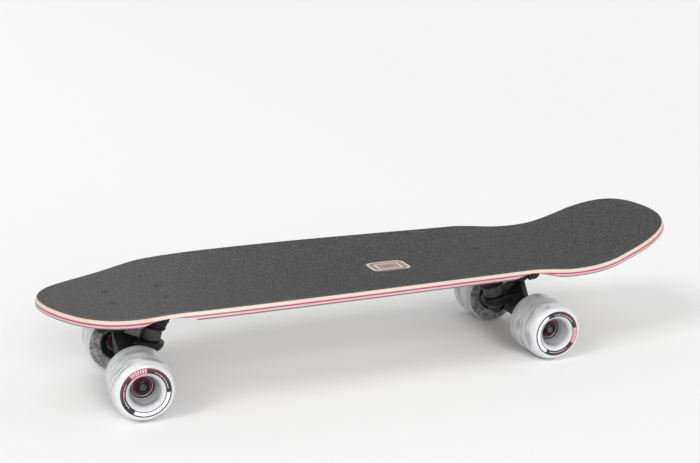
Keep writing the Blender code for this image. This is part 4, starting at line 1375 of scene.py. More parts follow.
@dataclass(frozen=True)
class DeckShape:
    """The pressed deck: its outline, its dish and its bends, x from the middle of the wheelbase."""

    layout: BoardLayout
    nose_reach: float = 0.3148
    tail_reach: float = 0.3993
    flat_half: float = 0.0170
    dish_half: float = 0.1080
    mid_dish: float = 0.0100
    nose_dish: float = 0.0044
    tail_dish: float = 0.0039
    nose_dish_fade: float = 0.0620
    tail_dish_fade: float = 0.0660
    kick_dish_fade: float = 0.0730
    nose_fade_lead: float = 0.0118
    tail_fade_lead: float = 0.0058
    nose_slope: float = 0.19
    nose_bend: float = 0.0400
    nose_bend_beyond_bolts: float = 0.0084
    tail_slope: float = 0.36
    tail_bend: float = 0.0500
    tail_bend_beyond_bolts: float = 0.0224
    well_inboard: float = 0.0300
    columns: int = 31

    @property
    def knots(self) -> list[Knot]:
        """Lists the outline's knots along the right side.

        Returns:
            The knots, from nose to tail.
        """
        nose, tail = self.nose_reach, self.tail_reach
        return [
            Knot(-nose, 0.0, 90.0, 0.0, 0.0276, 44),
            Knot(0.0558 - nose, 0.0797, 29.4, 0.0370, 0.0613, 30),
            Knot(-0.0597, 0.1094, 0.0, 0.0774, 0.1130, 36),
            Knot(self.layout.half_base + 0.0024, 0.1020, 0.5, 0.0763, 0.0119, 30),
            Knot(tail - 0.0531, 0.0878, -14.8, 0.0010, 0.0440, 44),
            Knot(tail, 0.0, -90.0, 0.0479, 0.0, 0),
        ]

    def outline(self, inset: float = 0.0) -> np.ndarray:
        """The right side's edge from the nose tip to the tail tip.

        Args:
            inset: How far the line is drawn in from the edge.

        Returns:
            Rows of x and half width.
        """
        points = []
        knots = self.knots
        for here, after in zip(knots, knots[1:]):
            ahead, back = here.spot + here.ahead * here.way, after.spot - after.back * after.way
            curve = interpolate_bezier(here.spot, ahead, back, after.spot, here.steps + 1)
            points += [tuple(point)[:2] for point in curve[:-1]]
        points.append((knots[-1].x, 0.0))
        line = np.array(points)
        along = np.gradient(line, axis=0)
        inward = np.stack([along[:, 1], -along[:, 0]], axis=1)
        inward /= np.linalg.norm(inward, axis=1)[:, None]
        inward[0], inward[-1] = (1, 0), (-1, 0)
        return line + inset * inward

    def half_width(self, x: float) -> float:
        """Half the deck's width at a place along it."""
        line = self.outline()
        return float(np.interp(x, line[:, 0], line[:, 1]))

    @staticmethod
    def bend(distance: np.ndarray, length: float, slope: float) -> np.ndarray:
        """Height of a surface that bends up to a slope over a length and then runs straight."""
        curved = np.clip(distance, 0, length)
        return slope * (curved**2 / (2 * length) + np.maximum(distance - length, 0))

    @staticmethod
    def fade(share: np.ndarray) -> np.ndarray:
        """Rises from 0 to 1 with level ends."""
        share = np.clip(share, 0, 1)
        return share * share * (3 - 2 * share)

    def rise(self, x: np.ndarray, y: np.ndarray) -> np.ndarray:
        """Height of the top face above its flat centre.

        Args:
            x: Places along the board.
            y: Places across it.

        Returns:
            The heights.
        """
        bolts, well = self.layout.outer_bolts, self.layout.half_base - self.well_inboard
        nose = self.bend(-x - bolts - self.nose_bend_beyond_bolts, self.nose_bend, self.nose_slope)
        tail = self.bend(x - bolts - self.tail_bend_beyond_bolts, self.tail_bend, self.tail_slope)
        ahead = self.fade((-x - well + self.nose_fade_lead) / self.nose_dish_fade)
        behind = self.fade((x - well + self.tail_fade_lead) / self.tail_dish_fade)
        kick = self.fade((x - bolts - self.tail_bend_beyond_bolts) / self.kick_dish_fade)
        front = self.mid_dish + (self.nose_dish - self.mid_dish) * ahead
        rear = (self.mid_dish + (self.tail_dish - self.mid_dish) * behind) * (1 - kick)
        share = np.maximum(np.abs(y) - self.flat_half, 0) / (self.dish_half - self.flat_half)
        return nose + tail + np.where(x < 0, front, rear) * share**2

    def steepness(self, x: np.ndarray, y: np.ndarray) -> tuple[np.ndarray, np.ndarray]:
        """Measures the slopes of the top face.

        Args:
            x: Places along the board.
            y: Places across it.

        Returns:
            Its slopes along the board and across it.
        """
        tiny = 0.0001
        along = (self.rise(x + tiny, y) - self.rise(x - tiny, y)) / (2 * tiny)
        across = (self.rise(x, y + tiny) - self.rise(x, y - tiny)) / (2 * tiny)
        return along, across

    def below(self, x: np.ndarray, y: np.ndarray, top: float, depth: float) -> np.ndarray:
        """Points at a depth under the top face, measured square to it.

        Args:
            x: Places along the board.
            y: Places across it.
            top: Height of the flat centre.
            depth: The depth.

        Returns:
            Rows of points in the frame.
        """
        along, across = self.steepness(x, y)
        sink = depth / np.sqrt(1 + along**2 + across**2)
        height = top + self.rise(x, y) - sink
        return np.stack([x + self.layout.middle + sink * along, y + sink * across, height], axis=1)

    def depth_of(self, points: np.ndarray, top: float) -> np.ndarray:
        """Measures how deep points lie under the top face.

        Args:
            points: Rows of points in the frame.
            top: Height of the flat centre.

        Returns:
            Their depths.
        """
        x, y = points[:, 0] - self.layout.middle, points[:, 1]
        along, across = self.steepness(x, y)
        return (top + self.rise(x, y) - points[:, 2]) / np.sqrt(1 + along**2 + across**2)

    def sheet(self, inset: float, top: float, thickness: float, edge: float) -> Mesh:
        """A sheet pressed to the deck's shape, with its edges rounded and square to the bends.

        Args:
            inset: How far it is drawn in from the deck's edge.
            top: Height of its flat top face.
            thickness: Its thickness.
            edge: Rounding of its edges.

        Returns:
            The closed sheet.
        """
        angles = np.linspace(0, math.pi / 2, 6)
        rounding = [(edge * (1 - math.sin(a)), edge * (1 - math.cos(a))) for a in angles]
        lower = [(step, thickness - depth) for step, depth in reversed(rounding)]
        side = self.outline(inset + edge)
        spread = np.linspace(-1, 1, self.columns)
        x = np.repeat(side[:, 0], self.columns)
        y = (side[:, 1][:, None] * spread).ravel()
        loops = []
        for step, depth in rounding + lower:
            line = self.outline(inset + step)
            ring = np.vstack([line, line[-2:0:-1] * (1, -1)])
            loops.append(self.below(ring[:, 0], ring[:, 1], top, depth))
        bm = bmesh.new()
        for depth in (0.0, thickness):
            self.add_net(bm, self.below(x, y, top, depth).reshape(len(side), self.columns, 3), False)
        for pair in zip(loops, loops[1:]):
            self.add_net(bm, pair, True)
        bmesh.ops.remove_doubles(bm, verts=bm.verts, dist=10 * WELD)
        return mesh_from(bm)

    @staticmethod
    def add_net(bm: bmesh.types.BMesh, rows: Sequence[np.ndarray], closed: bool) -> None:
        """Adds the faces between rows of points.

        Args:
            bm: The bmesh that gets them.
            rows: The rows, all with as many points.
            closed: Whether each row ends where it starts.
        """
        verts = [[bm.verts.new(point) for point in row] for row in rows]
        for first, second in zip(verts, verts[1:]):
            for i in range(len(first) if closed else len(first) - 1):
                after = (i + 1) % len(first)
                bm.faces.new((first[i], first[after], second[after], second[i]))


@dataclass(frozen=True)
class Deck:
    """The deck with its wheel wells and bolt holes, its grip tape and the panel in the window."""

    layout: BoardLayout
    shape: DeckShape
    edge: float = 0.0017
    well_radius: float = 0.0707
    well_depth: float = 0.0047
    well_start: float = 0.0600
    well_steps: int = 240
    well_cuts: int = 36
    grip_inset: float = 0.0013
    grip_edge: float = 0.0003
    window_length: float = 0.0480
    window_width: float = 0.0400
    window_corner: float = 0.0085
    window_behind: float = 0.0690
    panel_margin: float = 0.0004
    panel_rise: float = 0.00015
    hole_head: float = 0.0051
    hole_shank: float = 0.0028
    hole_rim: float = 0.0004
    hole_cone: float = 0.0027
    hole_reach: float = 0.0200

    def well_cutter(self) -> Mesh:
        """Makes the tilted drums that scoop the four wheel wells out of the underside.

        Returns:
            The drums.
        """
        bm = bmesh.new()
        bottom = self.layout.deck_bottom
        for end in End:
            x = end.value * (self.layout.half_base - self.shape.well_inboard)
            half = self.shape.half_width(x)
            inner = bottom + float(self.shape.rise(np.array(x), np.array(self.well_start)))
            outer = bottom + float(self.shape.rise(np.array(x), np.array(half))) + self.well_depth
            tilt = math.atan2(outer - inner, half - self.well_start)
            for side in Side:
                crown = Vector((x + self.layout.middle, side.value * half, outer))
                drop = Vector((0, side.value * math.sin(tilt), -math.cos(tilt)))
                turn = Matrix.Rotation(side.value * (tilt - math.pi / 2), 4, "X")
                place = Matrix.Translation(crown + self.well_radius * drop) @ turn
                sizes = {"radius1": self.well_radius, "radius2": self.well_radius, "depth": half}
                bmesh.ops.create_cone(bm, cap_ends=True, segments=self.well_steps, matrix=place, **sizes)
        long_edges = [e for e in bm.edges if e.calc_length() > self.well_radius / 2]
        bmesh.ops.subdivide_edges(bm, edges=long_edges, cuts=self.well_cuts, use_grid_fill=True)
        return mesh_from(bm)

    def hole_cutter(self, end: End) -> Part:
        """Makes the countersunk holes of one truck's bolts.

        Args:
            end: The truck's end.

        Returns:
            The holes and their place.
        """
        profile = [
            (0, REACH_PAST),
            (self.hole_head, REACH_PAST),
            (self.hole_head, -self.hole_rim),
            (self.hole_shank, -self.hole_rim - self.hole_cone),
            (self.hole_shank, -self.hole_reach),
            (0, -self.hole_reach),
        ]
        hole = turned(profile, MAPLE, segments=32)
        holes = tree(BoltPattern).bake(hole, MAPLE, **self.layout.pattern)
        return holes, self.layout.bolts(end, self.layout.grip_top)

    def build(self) -> None:
        """Makes the deck, the grip tape and the panel."""
        layout, thickness = self.layout, self.layout.deck_thickness
        holes = [("DIFFERENCE", *self.hole_cutter(end)) for end in End]
        wood = self.shape.sheet(0.0, layout.deck_top, thickness, self.edge)
        wood = dressed(combined(wood, [("DIFFERENCE", self.well_cutter(), HERE), *holes]), MAPLE)
        self.mark_depth(wood, thickness)
        set_piece("deck_wood", [(wood, HERE)], "board", Slot.WOOD, "deck")
        rise = layout.grip_rise
        grip = self.shape.sheet(self.grip_inset, layout.grip_top, rise, self.grip_edge)
        die = self.window_slab(0.0, layout.deck_bottom, 2 * layout.grip_top)
        grip = dressed(combined(grip, [("DIFFERENCE", die, HERE), *holes]), GRIT)
        set_piece("grip_sheet", [(grip, HERE)], "board", Slot.GRIP, "grip_tape")
        self.build_panel()

    def mark_depth(self, mesh: Mesh, thickness: float) -> None:
        """Writes each point's depth through the plies, from 0 at the top to 1 at the bottom.

        Args:
            mesh: The deck.
            thickness: Its thickness.
        """
        points = np.empty(len(mesh.vertices) * 3, np.float32)
        mesh.vertices.foreach_get("co", points)
        depth = self.shape.depth_of(points.reshape(-1, 3).astype(float), self.layout.deck_top)
        attribute = mesh.attributes.new(PLY_DEPTH, "FLOAT", "POINT")
        attribute.data.foreach_set("value", np.clip(depth / thickness, 0, 1).astype(np.float32))

    @property
    def window_centre(self) -> float:
        """The middle of the window along X in the frame."""
        return self.layout.middle + self.window_behind

    def window_slab(self, margin: float, low: float, high: float) -> Mesh:
        """Makes a slab in the window's outline.

        Args:
            margin: How far it is drawn in from the window's edge.
            low: Its lower height.
            high: Its upper height.

        Returns:
            The slab.
        """
        half, wide = self.window_length / 2 - margin, self.window_width / 2 - margin
        start, end = (self.window_centre - half, -wide, low), (self.window_centre + half, wide, high)
        return slab(start, end, self.window_corner - margin / 2)

    def build_panel(self) -> None:
        """Makes the printed panel that lies in the window."""
        top, margin = self.layout.deck_top + self.panel_rise, self.panel_margin
        panel = self.window_slab(margin, top - 2 * self.panel_rise, top)
        finish = WindowPrint(
            centre=(self.window_centre, 0.0, top),
            half_length=self.window_length / 2 - margin,
            half_width=self.window_width / 2 - margin,
        )
        set_piece("window_panel", [(shaded(dressed(panel, finish)), HERE)], "board", Slot.WOOD)


# Fasteners


@dataclass(frozen=True)
class HexNut:
    """A lock nut about Z with chamfered corners and a collar, standing on z = 0."""

    flats: float
    height: float
    bore: float
    finish: Finish = BLACK_STEEL
    collar_finish: Finish = COLLAR
    chamfer_share: float = 0.48
    chamfer_slope: float = 1.4
    crown_share: float = 0.72
    root: float = 0.0002
    lip: float = 0.0004

    @property
    def corner(self) -> float:
        """The radius of its corners."""
        return self.flats / math.sqrt(3)

    def parts(self) -> list[Dressed]:
        """Makes the nut's body, and the rim and collar at its far end.

        Returns:
            Their meshes and finishes.
        """
        half, crown, top = self.flats / 2, self.crown_share * self.height, self.height
        chamfer = self.chamfer_share * (self.corner - half)
        blank = [
            (0, crown, 0),
            (half - chamfer / 2, crown, 0),
            (self.corner, crown - self.chamfer_slope * chamfer, 0),
            (self.corner, chamfer, 0),
            (half - chamfer / 2, 0, 0),
            (0, 0, 0),
        ]
        body = turned(filleted(blank), self.finish, segments=60)
        hexagon = prism(self.corner, -top, 2 * top)
        bore = prism(self.bore, -top, 2 * top, 32)
        body = combined(body, [("INTERSECT", hexagon, HERE), ("DIFFERENCE", bore, HERE)])
        shell = [
            (0.90 * half, crown - self.root, 0),
            (0.84 * half, top - self.lip, 0.0008),
            (0.74 * half, top, 0.0002),
            (0.70 * half, top - self.lip, 0.0001),
            (0.70 * half, crown - self.root, 0),
        ]
        ring = [
            (0.71 * half, crown - self.root, 0),
            (0.71 * half, top - self.lip - 0.0001, 0.0003),
            (self.bore, top - self.lip - 0.0003, 0.0003),
            (self.bore, crown - self.root, 0),
        ]
        rim = turned(filleted(shell, True), self.finish, True, 48)
        collar = turned(filleted(ring, True), self.collar_finish, True, 48)
        return [(dressed(body, self.finish), self.finish), (rim, self.finish), (collar, self.collar_finish)]

    def build(self) -> Mesh:
        """The whole nut."""
        return assembled([(mesh, HERE) for mesh, _ in self.parts()])


@dataclass(frozen=True)
class MountingSet:
    """The bolts and lock nuts that hold each truck to the deck."""

    layout: BoardLayout
    head: float = 0.0048
    shank: float = 0.00242
    rim: float = 0.0004
    cone: float = 0.0027
    length: float = 0.0275
    tip: float = 0.0004
    sunk: float = 0.0007
    socket_flats: float = 0.0032
    socket_depth: float = 0.0020
    nut_flats: float = 0.0095
    nut_height: float = 0.0046
    plate_thickness: float = 0.0065
    thread_reach: float = 0.0090
    thread_from: float = 0.0003
    thread_sunk: float = 0.00012
    ridge: float = 0.00026
    pitch: float = 0.0008

    def bolt(self) -> list[Dressed]:
        """Makes a countersunk bolt about Z, its head at z = 0, with a socket and a threaded tail.

        Returns:
            The meshes and finishes of its body and its thread.
        """
        end = -self.length
        corners = [
            (0, 0, 0),
            (self.head, 0, 0.0003),
            (self.head, -self.rim, 0),
            (self.shank, -self.rim - self.cone, 0.0006),
            (self.shank, end + self.tip, 0),
            (self.shank - self.tip, end, 0),
            (0, end, 0),
        ]
        blank = turned(filleted(corners), DULL_BLACK, segments=32)
        socket = prism(self.socket_flats / math.sqrt(3), -self.socket_depth, REACH_PAST)
        body = dressed(combined(blank, [("DIFFERENCE", socket, HERE)]), DULL_BLACK)
        sizes = {"Turns": self.thread_reach / self.pitch, "Length": self.thread_reach}
        sizes |= {"Radius": self.shank - self.thread_sunk, "Ridge": self.ridge}
        ridge = tree(ScrewThread).bake(bpy.data.meshes.new("thread"), BLACK_STEEL, **sizes)
        ridge.transform(Matrix.Translation((0, 0, end + self.thread_from)))
        return [(body, DULL_BLACK), (ridge, BLACK_STEEL)]

    def build(self) -> None:
        """Sets four bolts and four nuts at each end."""
        nut = HexNut(self.nut_flats, self.nut_height, self.shank + GAP).parts()
        for mesh, _ in nut:
            mesh.transform(OVER)
        plate_foot = self.layout.front_axle.z + self.layout.truck_height - self.plate_thickness
        kinds = (
            ("deck_bolt", self.bolt(), self.layout.grip_top - self.sunk),
            ("deck_nut", nut, plate_foot - GAP),
        )
        for end in End:
            for kind, dressed_parts, height in kinds:
                place = self.layout.bolts(end, height)
                copies = [
                    (tree(BoltPattern).bake(mesh, finish, **self.layout.pattern), place)
                    for mesh, finish in dressed_parts
                ]
                nodes = [f"{kind}_{end.word}_{number}" for number in range(1, 5)]
                set_piece(f"{kind}s_{end.word}", copies, "board", Slot.HARDWARE, *nodes)


# Trucks


@dataclass(frozen=True)
class TruckShape:
    """Axes and stations that the truck's pieces share, in the truck's frame."""

    lean: float = math.radians(16)
    rise: float = math.radians(32)
    ring_inboard: float = 0.0241
    ring_above: float = 0.0145
    ring_radius: float = 0.0159
    ring_thickness: float = 0.0094
    pivot_reach: float = 0.04725
    kingpin_radius: float = 0.00476
    board_bushing: float = 0.0127
    board_washer: float = 0.0018
    road_bushing: float = 0.0045
    road_washer: float = 0.0015

    @property
    def ring(self) -> Vector:
        """The middle of the hanger's ring."""
        return Vector((self.ring_inboard, 0, self.ring_above))

    @property
    def kingpin(self) -> Vector:
        """The kingpin's direction, up towards the board."""
        return Vector((math.sin(self.lean), 0, math.cos(self.lean)))

    @property
    def plane(self) -> Vector:
        """The direction in the ring's plane that runs inboard."""
        return Vector((math.cos(self.lean), 0, -math.sin(self.lean)))

    @property
    def steer(self) -> Vector:
        """The steering axis, from the ring up to the pivot cup."""
        return Vector((-math.cos(self.rise), 0, math.sin(self.rise)))

    @property
    def pivot(self) -> Vector:
        """The point where the pivot nose enters its cup."""
        return self.ring + self.pivot_reach * self.steer

    @property
    def pivot_place(self) -> Matrix:
        """The place of a shape about Z on the steering axis, at the pivot point."""
        return leaning(self.pivot, self.rise - math.pi / 2)

    @property
    def boss_face(self) -> float:
        """Station of the pedestal's boss along the kingpin."""
        return self.ring_thickness / 2 + self.board_bushing + self.board_washer + 3 * GAP

    def at(self, station: float) -> Matrix:
        """The place of a shape about Z at a station along the kingpin."""
        return leaning(self.ring + station * self.kingpin, self.lean)


@dataclass(frozen=True)
class Hanger:
    """The cast hanger: crested body, arms for the axle, yoke with the kingpin's ring, pivot nose."""

    truck: TruckShape
    half_width: float = 0.0579
    end_radius: float = 0.0068
    arm_radius: float = 0.0076
    body_half: float = 0.0320
    body_radius: float = 0.0086
    body_rise: float = 0.0008
    crest_half: float = 0.0085
    crest_outboard: float = 0.0135
    crest_outboard_height: float = 0.0322
    crest_outboard_half: float = 0.0016
    crest_top: float = 0.0035
    crest_height: float = 0.0325
    crest_back: float = 0.0142
    crest_rise: float = 0.0026
    foot_radius: float = 0.0132
    yoke_half: float = 0.0200
    yoke_reach: float = 0.0220
    yoke_height: float = 0.0035
    nose_radius: float = 0.0060
    nose_tip: float = 0.0040
    nose_depth: float = 0.0070
    nose_root: float = 0.0150
    ring_clearance: float = 0.0022
    end_round: float = 0.0010
    voxel: float = 0.00045
    smoothing: int = 4

    def body(self) -> Mesh:
        """Makes the crest, and the round ends where the arms begin.

        Returns:
            The body.
        """
        truck = self.truck
        seat = truck.ring_thickness / 2 + self.crest_rise
        back = truck.ring - self.crest_back * truck.plane + seat * truck.kingpin
        points = []
        for side in (-1, 1):
            end = Vector((0, side * self.body_half, self.body_rise))
            points += circles(end, Vector((0, side, 0)), [(0, self.body_radius)])
            points += [
                back + Vector((0, side * self.crest_half, 0)),
                Vector((-self.crest_top, side * self.crest_half, self.crest_height)),
                Vector((-self.crest_outboard, side * self.crest_outboard_half, self.crest_outboard_height)),
            ]
        return hull(points)

    def yoke(self) -> Mesh:
        """Makes the ring around the kingpin and the yoke that joins it to the body.

        Returns:
            The yoke.
        """
        truck = self.truck
        half = truck.ring_thickness / 2
        stations = ((half, truck.ring_radius), (0, truck.ring_radius), (-half, self.foot_radius))
        points = circles(truck.ring, truck.kingpin, stations)
        for rise in (-self.yoke_height, self.yoke_height):
            root = truck.ring - self.yoke_reach * truck.plane + rise * truck.kingpin
            points += [root + Vector((0, side * self.yoke_half, 0)) for side in (-1, 1)]
        return hull(points)

    def build(self) -> Mesh:
        """Makes the hanger in the truck's frame, with its edges blended as cast.

        Returns:
            The hanger.
        """
        upper = [
            (0, self.half_width),
            (self.end_radius - self.end_round, self.half_width),
            (self.end_radius, self.half_width - self.end_round),
            (self.arm_radius, self.body_half),
        ]
        arms = turned(upper + [(r, -s) for r, s in reversed(upper)], CASTING, segments=48)
        tip = self.nose_radius - self.nose_tip
        nose = [
            (0, self.nose_depth),
            (self.nose_tip, self.nose_depth),
            (self.nose_radius, self.nose_depth - tip),
            (self.nose_radius, tip - self.nose_root),
            (self.nose_tip, -self.nose_root - tip),
            (0, -self.nose_root - tip),
        ]
        pivot_nose = turned(nose, CASTING, segments=32)
        thick, long = self.truck.ring_thickness, 2 * self.half_width
        bore = prism(self.truck.kingpin_radius + self.ring_clearance, -thick, thick, 40)
        axle_bore = prism(AXLE_RADIUS + GAP, -long, long, 32)
        steps = [
            ("UNION", arms, TO_Y),
            ("UNION", self.yoke(), HERE),
            ("UNION", pivot_nose, self.truck.pivot_place),
            ("DIFFERENCE", bore, self.truck.at(0)),
            ("DIFFERENCE", axle_bore, TO_Y),
        ]
        return dressed(combined(self.body(), steps, self.voxel, self.smoothing), CASTING)


@dataclass(frozen=True)
class Baseplate:
    """The cast baseplate: the plate, the kingpin's pedestal and the pivot's housing."""

    layout: BoardLayout
    truck: TruckShape
    thickness: float = 0.0065
    outboard: float = 0.04615
    inboard: float = 0.0346
    half_width: float = 0.0275
    corner: float = 0.0060
    pedestal_half: float = 0.0145
    pedestal_foot: float = 0.0260
    pedestal_drop: float = 0.0035
    foot_inset: float = 0.0005
    boss_radius: float = 0.0135
    boss_flare: float = 0.0145
    boss_flare_at: float = 0.0050
    head_flats: float = 0.0143
    head_height: float = 0.0054
    lip_radius: float = 0.0097
    lip_height: float = 0.0024
    lip_ahead: float = 0.0005
    cup_radius: float = 0.0083
    cup_end: float = 0.0090
    mouth_radius: float = 0.0103
    housing_radius: float = 0.0121
    mouth_slope: float = 0.0035
    housing_length: float = 0.0088
    housing_round: float = 0.0014
    housing_foot: float = 0.0250
    housing_half: float = 0.0130
    cup_bore: float = 0.0063
    cup_floor: float = 0.0073
    cup_reach: float = 0.0150
    riser_margin: float = 0.0010
    riser_round: float = 0.0005
    bolt_hole: float = 0.0028
    voxel: float = 0.00050
    smoothing: int = 3

    @property
    def mouth(self) -> float:
        """Station of the housing's mouth along the steering axis."""
        return self.lip_height - self.lip_ahead + GAP

    def pedestal(self, end: float) -> Mesh:
        """Makes the boss around the kingpin, and its foot in the plate.

        Args:
            end: Where the foot ends along X.

        Returns:
            The pedestal.
        """
        truck, height = self.truck, self.layout.truck_height
        boss = truck.ring + truck.boss_face * truck.kingpin
        stations = ((0, self.boss_radius), (self.boss_flare_at, self.boss_flare))
        points = circles(boss, truck.kingpin, stations)
        inside, underside = height - self.thickness / 2, height - self.thickness
        for side in (-self.pedestal_half, self.pedestal_half):
            points += [
                Vector((end - self.pedestal_foot, side, inside)),
                Vector((end, side, inside)),
                Vector((end, side, underside - self.pedestal_drop)),
            ]
        return hull(points)

    def housing(self, end: float) -> Mesh:
        """Makes the pivot's barrel, and its foot in the plate.

        Args:
            end: Where the foot ends along X.

        Returns:
            The housing.
        """
        back = self.mouth + self.housing_length
        rings = (
            (self.mouth, self.mouth_radius),
            (self.mouth + self.mouth_slope, self.housing_radius),
            (back - self.housing_round, self.housing_radius),
            (back, self.housing_radius - self.housing_round),
        )
        points = circles(self.truck.pivot, self.truck.steer, rings)
        inside = self.layout.truck_height - self.thickness / 2
        for side in (-self.housing_half, self.housing_half):
            points += [Vector((end, side, inside)), Vector((end + self.housing_foot, side, inside))]
        return hull(points)

    def build(self) -> Mesh:
        """Makes the baseplate in the truck's frame, with its edges blended as cast.

        Returns:
            The baseplate.
        """
        height, shift = self.layout.truck_height, self.layout.axle_to_pattern
        outboard, inboard = shift - self.outboard, shift + self.inboard
        low = (outboard, -self.half_width, height - self.thickness)
        plate = slab(low, (inboard, self.half_width, height), self.corner)
        head_corner = self.head_flats / math.sqrt(3)
        head_top = height - 2 * GAP - self.truck.ring_above
        head_top -= head_corner * math.sin(self.truck.lean)
        head_top /= math.cos(self.truck.lean)
        pocket, shank = head_corner + GAP, self.truck.kingpin_radius + GAP
        shoulder = head_top - self.head_height - GAP
        hole = [
            (0, head_top + height),
            (pocket, head_top + height),
            (pocket, shoulder),
            (shank, shoulder),
            (shank, self.truck.boss_face - REACH_PAST),
            (0, self.truck.boss_face - REACH_PAST),
        ]
        kingpin_hole = turned(hole, CASTING, segments=40)
        socket = [
            (0, self.cup_end + GAP),
            (self.cup_radius + GAP, self.cup_end + GAP),
            (self.cup_radius + GAP, self.mouth),
            (self.lip_radius + GAP, self.mouth),
            (self.lip_radius + GAP, -self.cup_reach),
            (0, -self.cup_reach),
        ]
        cup_pocket = turned(socket, CASTING, segments=40)
        bolt_hole = dressed(prism(self.bolt_hole, 0, 2 * height, 24), CASTING)
        bolt_holes = tree(BoltPattern).bake(bolt_hole, CASTING, **self.layout.pattern)
        steps = [
            ("UNION", self.pedestal(inboard - self.foot_inset), HERE),
            ("UNION", self.housing(outboard + self.foot_inset), HERE),
            ("DIFFERENCE", kingpin_hole, self.truck.at(0)),
            ("DIFFERENCE", cup_pocket, self.truck.pivot_place),
            ("DIFFERENCE", bolt_holes, Matrix.Translation((shift, 0, 0))),
        ]
        return dressed(combined(plate, steps, self.voxel, self.smoothing), CASTING)

    def cup(self) -> Mesh:
        """Makes the pivot cup about Z: a lipped liner that opens towards -Z.

        Returns:
            The cup.
        """
        lip = self.lip_height - self.lip_ahead
        corners = [
            (0, self.cup_end, 0),
            (self.cup_radius, self.cup_end, 0.0008),
            (self.cup_radius, lip, 0.0002),
            (self.lip_radius, lip, 0.0006),
            (self.lip_radius, -self.lip_ahead, 0.0006),
            (self.cup_bore, -self.lip_ahead, 0.0008),
            (self.cup_bore, self.cup_floor, 0),
            (0, self.cup_floor, 0),
        ]
        return turned(filleted(corners), BUSHING)

    def riser(self) -> Mesh:
        """Makes the riser pad in the truck's frame, with softened rims.

        Returns:
            The riser pad.
        """
        margin, height = self.riser_margin, self.layout.truck_height + GAP
        half, shift = self.half_width + margin, self.layout.axle_to_pattern
        low = (shift - self.outboard - margin, -half, height)
        high = (shift + self.inboard + margin, half, height + self.layout.riser_thickness)
        return shaded(dressed(slab(low, high, self.corner, self.riser_round), RISER))


@dataclass(frozen=True)
class KingpinStack:
    """The bushings, washers and nut on the kingpin."""

    truck: TruckShape
    board_radius: float = 0.0112
    road_radius: float = 0.0113
    road_end_radius: float = 0.0095
    board_washer_radius: float = 0.0142
    road_washer_radius: float = 0.0100
    slope: float = 0.0003
    nut_flats: float = 0.0143
    nut_height: float = 0.0050
    seal: float = 0.0005
    board_keep: float = 0.72
    road_keep: float = 0.34

    def ring(self, finish: Finish, top: float, foot: float, height: float, edge: float) -> Mesh:
        """Makes a ring about Z that stands on z = 0.

        Args:
            finish: Its finish.
            top: Radius of its upper end.
            foot: Radius of its lower end.
            height: Its height.
            edge: Rounding of its rims.

        Returns:
            The ring.
        """
        bore = self.truck.kingpin_radius + GAP
        corners = [(top, height, edge), (foot, 0, edge), (bore, 0, edge / 3), (bore, height, edge / 3)]
        return turned(filleted(corners, True, 5), finish, True)

    def build(self, layout: BoardLayout) -> None:
        """Sets the stack at both ends.

        Args:
            layout: The board's main lines.
        """
        truck = self.truck
        half = truck.ring_thickness / 2 + GAP
        road_at = -half - truck.road_bushing
        board_washer_at = half + truck.board_bushing + GAP
        road_washer_at = road_at - GAP - truck.road_washer
        board, wide = self.board_radius, self.board_washer_radius
        road, small = self.road_radius, self.road_washer_radius
        rings = (
            ("bushing_board", board, board, truck.board_bushing, 0.0011, half),
            ("bushing_road", road, self.road_end_radius, truck.road_bushing, 0.0009, road_at),
            ("washer_board", wide, wide - self.slope, truck.board_washer, 0.0006, board_washer_at),
            ("washer_road", small - self.slope, small, truck.road_washer, 0.0005, road_washer_at),
        )
        nut = HexNut(self.nut_flats, self.nut_height, truck.kingpin_radius + GAP).build()
        for end in End:
            frame_place = layout.truck(end)
            for name, top, foot, height, edge, station in rings:
                soft = name.startswith("bushing")
                mesh = self.ring(BUSHING if soft else BLACK_STEEL, top, foot, height, edge)
                parts = [(mesh, frame_place @ truck.at(station))]
                if name == "washer_board":
                    seal = self.ring(SEAL_RED, foot, foot - 0.0002, self.seal, 0.0001)
                    parts.append((seal, frame_place @ truck.at(station - self.seal / 2)))
                slot = Slot.BUSHING if soft else Slot.HARDWARE
                piece = set_piece(f"{name}_ring_{end.word}", parts, "board", slot, f"{name}_{end.word}")
                if soft:
                    far, keep = (height, self.board_keep) if "board" in name else (0.0, self.road_keep)
                    anchor = frame_place @ truck.at(station + far).translation
                    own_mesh(piece)
            place = frame_place @ truck.at(road_washer_at - GAP - self.nut_height)
            place = place @ Matrix.Translation((0, 0, self.nut_height)) @ OVER
            node = f"kingpin_nut_{end.word}"
            set_piece(f"kingpin_lock_nut_{end.word}", [(nut, place)], "board", Slot.HARDWARE, node)


